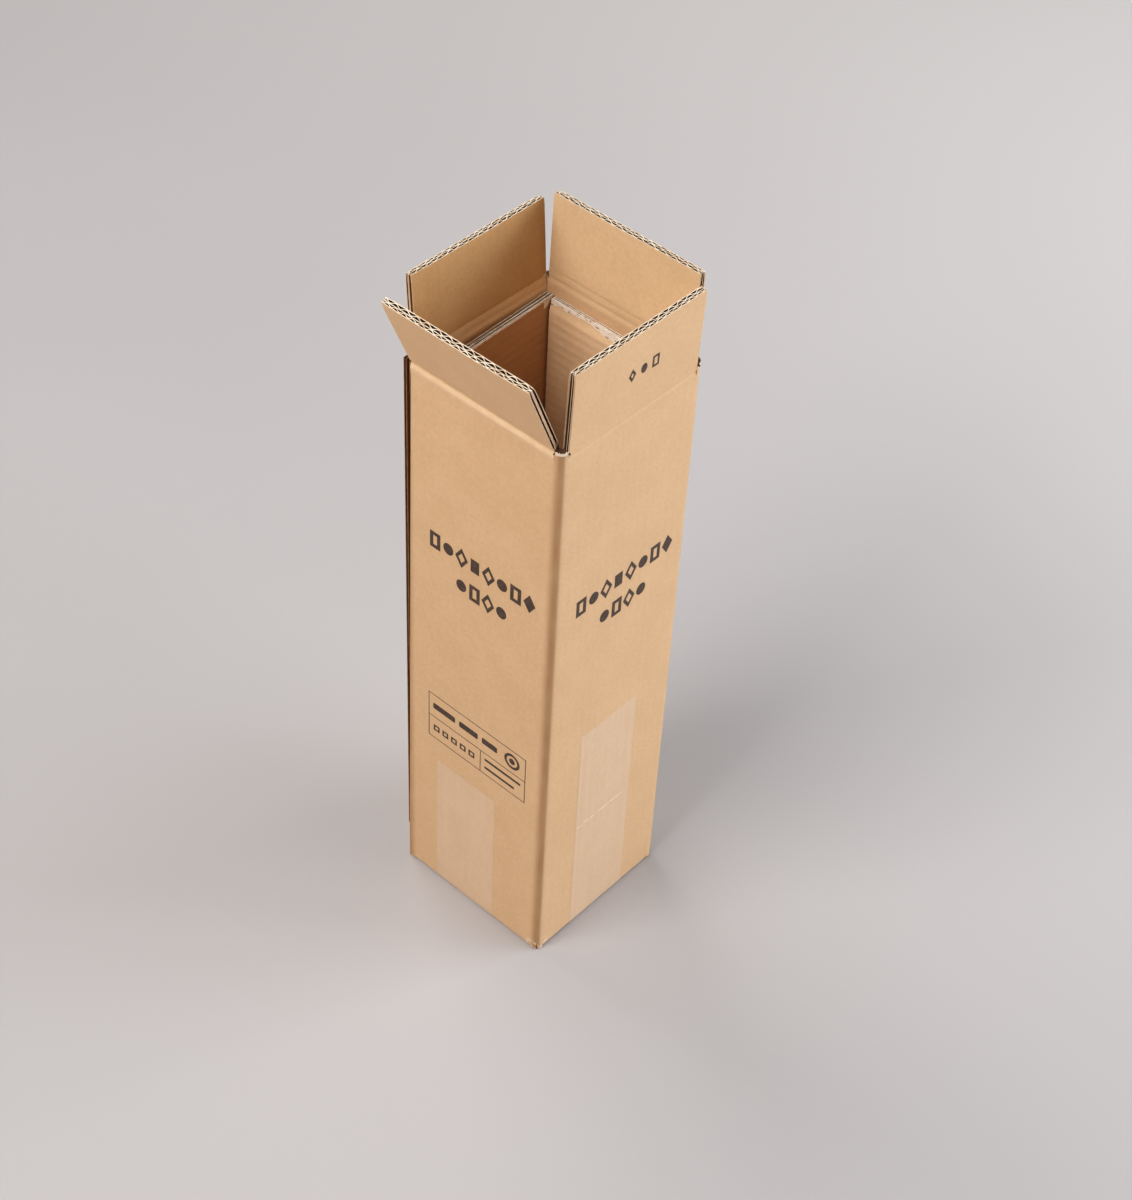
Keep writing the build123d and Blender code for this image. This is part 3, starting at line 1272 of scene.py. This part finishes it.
class RoundedPath:
    """A line of straight runs with rounded corners, measured along its length."""

    def __init__(self, points: list[tuple[float, float]], radius: float) -> None:
        """Keeps the corners of a line, with its open side to the left, and their radius."""
        self.points = [Vector(point) for point in points]
        self.radius = radius

    def heading(self, run: int) -> Vector:
        """Direction of one straight run."""
        return (self.points[run + 1] - self.points[run]).normalized()

    def inset(self, depth: float) -> "RoundedPath":
        """The same line, moved to its left by a depth, with smaller corners.

        Args:
            depth: How far it moves.

        Returns:
            The moved line.
        """
        moved = []
        for number, point in enumerate(self.points):
            runs = [run for run in (number - 1, number) if 0 <= run < len(self.points) - 1]
            sides = [Vector((-self.heading(run).y, self.heading(run).x)) for run in runs]
            total = sides[0] + sides[-1]
            moved.append(tuple(point + total * (depth / total.dot(sides[0]))))
        return RoundedPath(moved, max(self.radius - depth, 0.6 * MM))

    def stations(self, along: int, corner: int) -> list[Station]:
        """Places along the line.

        Args:
            along: Steps on each straight run.
            corner: Steps round each corner.

        Returns:
            The place, the direction to the left and the number of the run, for each step.
        """
        found: list[Station] = []
        start = self.points[0]
        for run in range(len(self.points) - 1):
            heading = self.heading(run)
            end, turn, back = self.points[run + 1], 0.0, 0.0
            if run + 2 < len(self.points):
                turn = heading.angle_signed(self.heading(run + 1))
                back = self.radius * math.tan(abs(turn) / 2)
                end = end - heading * back
            left = Vector((-heading.y, heading.x))
            found.extend((start.lerp(end, step / along), left, run) for step in range(along + 1))
            if back:
                found.extend(self.corner(end, left, turn, corner, run))
                start = self.points[run + 1] + self.heading(run + 1) * back
        return found

    def corner(self, start: Vector, left: Vector, turn: float, steps: int, run: int) -> list[Station]:
        """Places round one corner, without its two ends.

        Args:
            start: Where the corner starts.
            left: Direction to the left there.
            turn: Angle of the corner.
            steps: Steps round it.
            run: Number of the run before it.

        Returns:
            The corner's stations.
        """
        reach = -math.copysign(self.radius, turn)
        centre = start + left * reach
        found = []
        for step in range(1, steps):
            angle = -turn * step / steps
            cos, sin = math.cos(angle), math.sin(angle)
            turned = Vector((left.x * cos - left.y * sin, left.x * sin + left.y * cos))
            found.append((centre - turned * reach, turned, run))
        return found


@dataclass
class Sleeve:
    """The folded inner sleeve, with level flutes and an uneven top edge.

    Attributes:
        seam: Gap between the end of the back panel and the left panel.
        push: How far the glue flap pushes the front left corner in.
        radius: Outer radius of a fold.
        collar: Height of the top stretch that shows its layers.
        rib: Height of the ribs on its inner liner.
        warp: How far the panels are warped near the top.
    """

    seam: float = 1.6 * MM
    push: float = 3.55 * MM
    radius: float = 3.0 * MM
    collar: float = 15.0 * MM
    rib: float = 0.07 * MM
    warp: float = 0.25 * MM
    low: Vector = field(init=False)
    high: Vector = field(init=False)

    def __post_init__(self) -> None:
        """Reads the sleeve's box from the frame."""
        self.low, self.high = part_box("inner_sleeve")

    def path(self, depth: float) -> RoundedPath:
        """The sleeve's line at a depth below its outer face, from the back seam round to the left panel.

        Args:
            depth: That depth.

        Returns:
            The line.
        """
        (left, front), (right, back) = self.low.xy, self.high.xy
        start = (left + BOARD.thickness + self.seam, back)
        corners = [(right, back), (right, front), (left + self.push, front)]
        return RoundedPath([start, *corners, (left, back)], self.radius).inset(-depth)

    def crushed(self, run: int, x: float, to_top: float) -> float:
        """How far the board is crushed at a place: only the back panel's top is.

        Args:
            run: Number of the line's run.
            x: Place along the back panel.
            to_top: Distance below the top edge.

        Returns:
            The share of the thickness that is lost.
        """
        if run != 0:
            return 0.0
        strength = 0.62 + 0.3 * wander(x, 0.0, 22 * MM, 5.0)
        return strength * (1 - ease(to_top, 1.5 * MM, 9.0 * MM))

    def layer(self, mesh: PaperMesh, number: int, faces: Faces, rows: list[float], bottom: float) -> None:
        """Adds one layer of the sleeve.

        Args:
            mesh: Mesh that takes the sheet.
            number: Place of the layer in the section.
            faces: Finishes of the sheet.
            rows: Shares of the height at which the sheet has points.
            bottom: Lowest height of the sheet.
        """
        layer = BOARD.layers(low_first=False)[number]
        stations = self.path(layer.depth).stations(along=16, corner=5)[::-1]
        thickness = BOARD.medium if layer.pitch else layer.height
        room = layer.height - thickness

        def shape(u: float, v: float) -> Vector:
            """Place of the outer face at a share of the width and of the height."""
            place, left, run = stations[round(u * (len(stations) - 1))]
            torn = 0.35 * wander(place.x, place.y, 3.0 * MM, number)
            torn += 0.6 * self.crushed(run, place.x, 0.0) * (1 + wander(place.x, 0.0, 5.0 * MM, number + 4.0))
            top = self.high.z - torn * MM
            z = bottom + (top - bottom) * v
            depth = 0.0
            if layer.pitch:
                phase = math.tau * (z / layer.pitch + 0.08 * wander(place.x, place.y, 40 * MM, number))
                depth = room * (0.5 - 0.5 * math.cos(phase))
            elif number == 4:
                depth = self.rib * math.cos(math.tau * z / BOARD.low[1])
            depth -= self.crushed(run, place.x, top - z) * (layer.depth + depth) * 0.5
            wave = self.warp * wander(place.x + place.y, z, 30 * MM, 2.0) * ease(z, top - 30 * MM, top)
            across = place - left * (depth + wave)
            return Vector((across.x, across.y, z))

        mesh.sheet(even(len(stations) - 1), rows, shape, thickness, faces)

    def build(self) -> bpy.types.Object:
        """Builds the sleeve in place of its solid.

        Returns:
            The finished piece.
        """
        mesh = PaperMesh()
        bottom, collar = self.low.z, self.high.z - self.collar
        ribs = round((self.high.z - bottom) / BOARD.low[1] * 6)
        self.layer(mesh, 0, Faces(INNER_PAPER, INNER_PAPER, TORN_PAPER), even(24), bottom)
        for number, rows in ((1, 24), (2, 12), (3, 24)):
            self.layer(mesh, number, Faces(rim=TORN_PAPER), even(rows), collar)
        self.layer(mesh, 4, Faces(inside=SLEEVE_PAPER, rim=TORN_PAPER), even(ribs), bottom)
        made = mesh.piece("sleeve_layers", "sleeve_board")
        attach(made, "carton")
        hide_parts("inner_sleeve")
        return made


@dataclass
class TapeStrip:
    """A strip of clear tape that runs down one face, under the bottom and up the face behind.

    Attributes:
        node: The strip's node in the frame.
        side: Side that the strip's high end is on.
        back_drop: How much lower the strip's other end is.
        crinkle: Height of a white crinkle across the strip, or 0 for none.
        radius: Radius at the two bottom folds.
        tooth: Pitch of the saw teeth at the cut ends.
        tooth_height: Height of those teeth.
        ripple: Height of the ripples in the film.
        film: Thickness of the film.
        skin: How far the film lies below the solid's face.
    """

    node: str
    side: Side
    back_drop: float
    crinkle: float = 0.0
    radius: float = 3.5 * MM
    tooth: float = 2.1 * MM
    tooth_height: float = 0.9 * MM
    ripple: float = 0.015 * MM
    film: float = 0.05 * MM
    skin: float = 0.02 * MM

    def build(self) -> bpy.types.Object:
        """Builds the strip in place of its solid.

        Returns:
            The finished piece.
        """
        low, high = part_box(self.node)
        axis = 0 if self.side is Side.FRONT else 1
        near, far = low[axis], high[axis]
        reach = high[1 - axis]
        edge, foot = reach - self.skin, low.z + self.skin
        corners = [(-edge, high.z), (-edge, foot), (edge, foot), (edge, high.z - self.back_drop)]
        stations = RoundedPath(corners, self.radius).stations(along=40, corner=7)
        last = len(stations) - 1

        def shape(u: float, v: float) -> Vector:
            """Place of the outer face at a share of the width and of the height."""
            place, left, _ = stations[round(v * last)]
            across = near + (far - near) * (1 - u)
            spot = place + left * (self.ripple * wander(across, place.x + place.y, 14 * MM, reach))
            saw = abs((across / self.tooth) % 1.0 - 0.5) * 2
            ends = max(1 - v * last / 1.5, 0.0) + max(1 - (1 - v) * last / 1.5, 0.0)
            return Vector((across, spot.x, spot.y - ends * (0.15 + 0.85 * saw) * self.tooth_height))

        mesh = PaperMesh()
        columns = round((far - near) / self.tooth * 4)
        finish = Film(f"clear_{self.node}", axis=axis, edges=(near, far), crinkle_height=self.crinkle)
        mesh.sheet(even(columns), even(last), shape, self.film, Faces(finish, finish, finish))
        mesh.move(self.side.turn)
        mesh.face_outwards()
        made = mesh.piece(f"{self.node}_film", "tape")
        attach(made, "carton")
        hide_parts(self.node)
        return made


class Stamp(Gathered):
    """Flat printed shapes on one face, drawn in millimetres with X across and Y up."""

    ink_height = 0.05 * MM
    ink_lift = 0.06 * MM

    def add(
        self,
        x: float,
        y: float,
        width: float,
        height: float,
        line: float = 0.0,
        sides: int = 0,
        corner: float = 0.0,
    ) -> None:
        """Adds a rectangle, an oval or a lozenge.

        Args:
            x: Place of its middle across the face.
            y: Place of its middle up the face.
            width: Width of the shape.
            height: Height of the shape.
            line: Width of its outline, or 0 for a filled shape.
            sides: Sides of an oval, 4 for a lozenge, or 0 for a rectangle.
            corner: Radius of its corners, or 0 for sharp ones.
        """
        part = bmesh.new()
        if sides:
            bmesh.ops.create_circle(part, cap_ends=True, segments=sides, radius=0.5)
        else:
            bmesh.ops.create_grid(part, x_segments=1, y_segments=1, size=0.5)
        bmesh.ops.scale(part, vec=(width * MM, height * MM, 1.0), verts=part.verts[:])
        if line:
            inner = part.faces[:]
            bmesh.ops.inset_region(
                part, faces=inner, thickness=line * MM, use_even_offset=True, use_boundary=True
            )
            bmesh.ops.delete(part, geom=inner, context="FACES_ONLY")
        if corner:
            bmesh.ops.bevel(
                part,
                geom=part.verts[:],
                offset=corner * MM,
                offset_type="OFFSET",
                segments=3,
                profile=0.5,
                affect="VERTICES",
                material=-1,
            )
        bmesh.ops.translate(part, vec=(x * MM, y * MM, 0.0), verts=part.verts[:])
        self.keep(part)

    def piece(self, name: str, matrix: Matrix, body: str) -> bpy.types.Object:
        """Gives the ink its body and puts it on a face.

        Args:
            name: Name of the piece.
            matrix: Takes the face's frame, with Y pointing in, into the row's frame.
            body: Body that the print rides on.

        Returns:
            The finished piece.
        """
        self.face_outwards()
        for face in self.bm.faces:
            if face.normal.z < 0:
                face.normal_flip()
        bmesh.ops.solidify(self.bm, geom=self.bm.faces[:], thickness=self.ink_height)
        raise_up = Matrix.Translation((0.0, -self.ink_lift, 0.0)) @ Matrix.Rotation(math.radians(90), 4, "X")
        self.move(matrix @ raise_up)
        made = self.settle(name, [PRINT_INK])
        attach(made, body)
        return made


ROUND = 32
POINTED = 4


class PrintShape(Enum):
    """The printed rows' shapes: shares of the row's width, height and stroke, and the number of sides."""

    FRAME = (0.9, 0.9, 1.0, 0)
    DISC = (0.86, 0.62, 0.0, ROUND)
    LOZENGE = (1.1, 1.1, 0.8, POINTED)
    BLOCK = (0.72, 0.72, 0.0, 0)
    GEM = (1.0, 1.0, 0.0, POINTED)


@dataclass
class Printing:
    """Plain printed shapes in the places of the carton's print, in millimetres.

    Attributes:
        stroke: Width of an outline in the two rows.
        height: Height of a shape in the two rows.
        width: Width of a shape in the two rows.
        pitch: Distance from one shape to the next.
        drop: Distance from the upper row down to the lower one.
        middle: Middle of the rows across the face.
    """

    stroke: float = 2.7
    height: float = 14.0
    width: float = 9.4
    pitch: float = 10.7
    drop: float = 22.0
    middle: float = 3.0

    def rows(self, stamp: Stamp, low: float) -> None:
        """Adds a long row of shapes, whose foot is at a height, over a short one.

        Args:
            stamp: Stamp that takes the shapes.
            low: Height of the long row's foot.
        """
        upper = "FRAME DISC LOZENGE BLOCK LOZENGE DISC FRAME GEM".split()
        lower = "DISC FRAME LOZENGE DISC".split()
        for names, foot in ((upper, low), (lower, low - self.drop)):
            first = self.middle - (len(names) - 1) * self.pitch / 2
            for number, name in enumerate(names):
                wide, high, line, sides = PrintShape[name].value
                place = (first + number * self.pitch, foot + self.height / 2)
                size = (self.width * wide, self.height * high)
                stamp.add(*place, *size, self.stroke * line, sides)

    def panel(self, stamp: Stamp) -> None:
        """Adds the framed panel with its plain fields.

        Args:
            stamp: Stamp that takes the shapes.
        """
        line = 0.6
        left, right, low, high, split = -40.0, 43.0, 136.5, 176.0, 155.8
        stamp.add((left + right) / 2, (low + high) / 2, right - left, high - low, line)
        stamp.add((left + right) / 2, split, right - left - 2 * line, line)
        stamp.add(5.0, (low + split) / 2, line, split - low - 2 * line)
        for start, end in ((-36.0, -17.0), (-13.5, 2.5), (6.0, 19.0)):
            stamp.add((start + end) / 2, 165.9, end - start, 5.0, corner=1.0)
        stamp.add(31.5, 166.0, 12.8, 12.8, 2.0, ROUND)
        stamp.add(31.5, 166.0, 4.8, 4.8, 0.0, ROUND)
        for number in range(5):
            stamp.add(-33.0 + number * 7.6, 146.2, 5.1, 5.1, 1.3)
        stamp.add(23.8, 150.2, 30.4, 2.0, corner=0.6)
        stamp.add(21.3, 143.0, 25.4, 2.0, corner=0.6)

    def build(self) -> None:
        """Builds the print of the front wall, the right wall and the right flap."""
        hinge = HINGES[Side.FRONT]
        front = Stamp()
        self.rows(front, 300.0)
        self.panel(front)
        front.piece("print_front", hinge.wall(hinge.crease), "carton")
        hinge = HINGES[Side.RIGHT]
        right = Stamp()
        self.rows(right, 294.0)
        right.piece("print_right", hinge.wall(hinge.crease), "carton")
        flap = Stamp()
        flap.add(-5.5, 31.0, 6.0, 9.0, 1.5, POINTED)
        flap.add(4.0, 31.0, 5.0, 6.5, 0.0, ROUND)
        flap.add(13.5, 31.0, 5.6, 8.0, 1.5)
        flap.piece("print_flap_right", hinge.flap(), "right_flap")


@dataclass
class CartonBody:
    """The folded walls and bottom flaps, which keep the frame's own solid.

    Attributes:
        fold_radius: Outer radius of a corner fold.
        cap_rise: How far torn fibres stand over a corner post.
        cap_foot: How far they reach down into it.
        gap: Gap between the torn layers and the flap beside them.
        inset: How far the torn layers lie behind the wall's faces.
    """

    fold_radius: float = 5.0 * MM
    cap_rise: float = 1.5 * MM
    cap_foot: float = 1.2 * MM
    gap: float = 0.7 * MM
    inset: float = 0.05 * MM

    def post(self, x_sign: int, y_sign: int, share: float) -> bpy.types.Object:
        """Adds the torn liners on top of one corner post.

        Args:
            x_sign: 1 for a right corner, -1 for a left one.
            y_sign: 1 for a back corner, -1 for a front one.
            share: Share of the fibres' height that this corner has.

        Returns:
            The finished piece.
        """
        front, right = HINGES[Side.FRONT], HINGES[Side.RIGHT]
        mesh = PaperMesh()
        fibres = TORN_FIBRES if share == 1.0 else OUTER_PAPER
        for number, layer in enumerate(BOARD.layers(low_first=True)[:-1]):
            inset = layer.depth + self.inset
            wide, deep = right.face - inset, front.face - inset
            line = [(front.half + self.gap, deep), (wide, deep), (wide, right.half + self.gap)]
            path = RoundedPath(line, max(self.fold_radius - inset, 0.3 * MM))
            stations = path.stations(along=12, corner=12)
            thickness = BOARD.medium if layer.pitch else layer.height - 0.08 * MM
            # The inner layers' rims take the flute paper with painted shade.
            faces = Faces(rim=FLUTE_PAPER_PAINTED_SHADE) if number else Faces(inside=fibres, rim=fibres)
            shape = self.post_shape(stations, number, share)
            mesh.sheet(even(len(stations) - 1), even(3), shape, thickness, faces)
        mesh.move(Matrix.Diagonal((x_sign, y_sign, 1.0, 1.0)))
        mesh.face_outwards()
        name = f"post_{'right' if x_sign > 0 else 'left'}_{'back' if y_sign > 0 else 'front'}"
        made = mesh.piece(name, "board")
        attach(made, "carton")
        return made

    def post_shape(self, stations: list[Station], number: int, share: float) -> Shape:
        """The shape of one torn layer on a corner post.

        Args:
            stations: Line of the layer.
            number: Place of the layer in the section.
            share: Share of the fibres' height that this corner has.

        Returns:
            The place of each point.
        """
        layer = BOARD.layers(low_first=True)[number]
        room = layer.height - BOARD.medium if layer.pitch else 0.0
        top = HINGES[Side.FRONT].crease

        def shape(u: float, v: float) -> Vector:
            """Place of the outer face at a share of the width and of the height."""
            place, left, _ = stations[round(u * (len(stations) - 1))]
            spot = place - left * (room * (0.5 + 0.5 * math.sin(math.tau * u * 1.7 + number)))
            uneven = clamp(0.5 + 1.1 * wander(spot.x, spot.y, 0.7 * MM, number), 0.15, 1.0)
            rise = (0.3 if number else 1.0) * share * self.cap_rise * uneven
            return Vector((spot.x, spot.y, top - self.cap_foot + (self.cap_foot + rise) * v))

        return shape

    def build(self) -> None:
        """Gives the solid its paper and builds what stands on it."""
        walls = frame["nodes"]["carton_body"]
        walls.data.materials.clear()
        walls.data.materials.append(WALL_PAPER.material())
        LOG.info("carton_body: dressed")
        for x_sign, y_sign, share in ((1, -1, 1.0), (1, 1, 0.2), (-1, 1, 0.2)):
            self.post(x_sign, y_sign, share)


@dataclass(frozen=True)
class Lamp:
    """One soft square lamp that looks at the carton.

    Attributes:
        name: Name of the lamp.
        azimuth: Its turn round the carton from the front to the right, in degrees.
        elevation: Its angle above the horizon, in degrees.
        watts: Its power.
        colour: Its colour.
        distance: Its distance from the carton.
        size: Its width and height.
    """

    name: str
    azimuth: float
    elevation: float
    watts: float
    colour: tuple[float, float, float] = (1.0, 1.0, 1.0)
    distance: float = 2.6
    size: float = 1.53


def outward(azimuth: float, elevation: float) -> Vector:
    """Direction from the carton at a turn from the front to the right and an angle up, in degrees."""
    turn, rise = math.radians(azimuth), math.radians(elevation)
    return Vector((math.sin(turn) * math.cos(rise), -math.cos(turn) * math.cos(rise), math.sin(rise)))


COOL = (0.86, 0.93, 1.0)


@dataclass
class Studio:
    """Floor, lamps and camera.

    Attributes:
        target: Point that the lamps look at.
        azimuth: The camera's turn round the carton, in degrees.
        elevation: The camera's angle above the horizon, in degrees.
        roll: The camera's roll, in degrees.
        distance: Distance from the camera to the carton's middle height.
        shift: Sideways and upward offset of the camera.
        focal: Focal length in pixels of an image so many pixels high.
        image_height: That height, in pixels.
        lamps: The lamps.
        world: Strength of the pale world.
        sky: Colour of the pale world.
        backdrop: Colour behind the floor.
        fade: Distances at which the floor starts and ends to turn into the backdrop.
    """

    target: tuple[float, float, float] = (0.0, 0.0, 0.22)
    azimuth: float = 40.215
    elevation: float = 44.385
    roll: float = 3.24
    distance: float = 1.400465
    shift: tuple[float, float] = (0.014838, 0.015698)
    focal: float = 2283.463
    image_height: float = 1200.0
    lamps: tuple[Lamp, ...] = (
        Lamp("lamp_front_high", -10.0, 62.0, 20.8),
        Lamp("lamp_front_low", -10.0, 38.0, 45.5),
        Lamp("lamp_far_left", -100.0, 45.0, 28.0),
        Lamp("lamp_right", 110.0, 15.0, 31.0, COOL),
        Lamp("lamp_rear_right", 140.0, 20.0, 49.5, COOL),
    )
    world: float = 0.06
    sky: Colour = (0.95, 0.96, 1.0, 1.0)
    backdrop: Colour = paint(208, 203, 200)
    fade: tuple[float, float] = (1.15, 1.95)

    def seen(self, tree: bpy.types.NodeTree) -> Value:
        """1 for what the camera sees, also in gloss or through glass, and 0 for the light itself.

        Args:
            tree: Node tree that takes the nodes.

        Returns:
            The mask.
        """
        rays = tree.nodes.new("ShaderNodeLightPath").outputs
        kinds = ("Is Camera Ray", "Is Glossy Ray", "Is Transmission Ray")
        camera, glossy, through = (Value(tree, rays[kind]) for kind in kinds)
        return camera.most(glossy).most(through)

    def floor(self) -> None:
        """Lays a pale floor with painted light, which turns into the backdrop far away."""
        grid = Gathered()
        bmesh.ops.create_grid(grid.bm, x_segments=8, y_segments=8, size=6.0)
        grid.move(Matrix.Translation((0.0, 0.0, -0.05 * MM)))
        floor = grid.settle("floor", [FLOOR_PAPER])
        tree = FLOOR_PAPER.material().node_tree
        place = new_value(tree, "ShaderNodeTexCoord", "Object")
        away = place.make("ShaderNodeVectorMath", "Value", {0: place}, operation="LENGTH")
        share = away.span(*self.fade) * self.seen(tree)
        plain = Value(tree, tree.nodes["Principled BSDF"].outputs["BSDF"])
        backdrop = place.make("ShaderNodeEmission", "Emission", {"Color": self.backdrop})
        mixed = place.make("ShaderNodeMixShader", "Shader", {0: share, 1: plain, 2: backdrop})
        feed(tree.nodes["Material Output"].inputs["Surface"], mixed)

    def light(self) -> None:
        """Hangs the lamps and sets a pale world."""
        for lamp in self.lamps:
            data = bpy.data.lights.new(lamp.name, "AREA")
            data.shape = "SQUARE"
            data.size = lamp.size
            data.energy = lamp.watts
            data.color = lamp.colour
            made = link(lamp.name, data)
            offset = lamp.distance * outward(lamp.azimuth, lamp.elevation)
            made.location = Vector(self.target) + offset
            made.rotation_euler = (-offset).to_track_quat("-Z", "Y").to_euler()
        world = bpy.data.worlds.new("studio")
        world.use_nodes = True
        seen = self.seen(world.node_tree)
        sockets = world.node_tree.nodes["Background"].inputs
        feed(sockets["Color"], seen.blend(self.sky, self.backdrop))
        feed(sockets["Strength"], seen * (1.0 - self.world) + self.world)
        bpy.context.scene.world = world

    def camera(self) -> None:
        """Places the camera at the photograph's viewing angle."""
        back = outward(self.azimuth, self.elevation)
        turn, roll = math.radians(self.azimuth), math.radians(self.roll)
        level = Vector((math.cos(turn), math.sin(turn), 0.0))
        upright = back.cross(level)
        right = level * math.cos(roll) + upright * math.sin(roll)
        up = upright * math.cos(roll) - level * math.sin(roll)
        spot = Vector(self.target) + back * self.distance + right * self.shift[0] + up * self.shift[1]
        data = bpy.data.cameras.new("camera")
        data.sensor_width = 36.0
        data.lens = self.focal * data.sensor_width / self.image_height
        made = link("camera", data)
        made.matrix_world = Matrix.Translation(spot) @ Matrix((right, up, back)).transposed().to_4x4()
        bpy.context.scene.camera = made

    def build(self) -> None:
        """Sets up the whole studio."""
        self.floor()
        self.light()
        self.camera()
        bpy.context.scene.view_settings.view_transform = "Standard"


def main() -> None:
    """Builds every sub-assembly in order."""
    logging.basicConfig(level=logging.INFO, format="%(name)s: %(message)s")
    CartonBody().build()
    for number, side in enumerate(Side):
        hinge = HINGES[side]
        printed = side is Side.RIGHT
        LayeredFlap(hinge, seed=11.0 * number, bow=(0.0 if printed else 0.22) * MM).build()
        deep = side in (Side.FRONT, Side.BACK)
        swell = 0.45 if deep else 0.05
        CreaseSkin(hinge, inside=False, wall_reach=10.0 * MM, swell=swell * MM).build()
        inner_reach = (5.4 if deep else 4.4) * MM
        CreaseSkin(hinge, True, wall_reach=inner_reach, flap_reach=7.5 * MM, bend=inner_reach).build()
    Sleeve().build()
    TapeStrip("tape_front", Side.FRONT, back_drop=14.0 * MM).build()
    TapeStrip("tape_side", Side.RIGHT, back_drop=33.0 * MM, crinkle=97.5 * MM).build()
    Printing().build()
    Studio().build()
    bpy.context.view_layer.update()


if __name__ == "__main__":
    main()
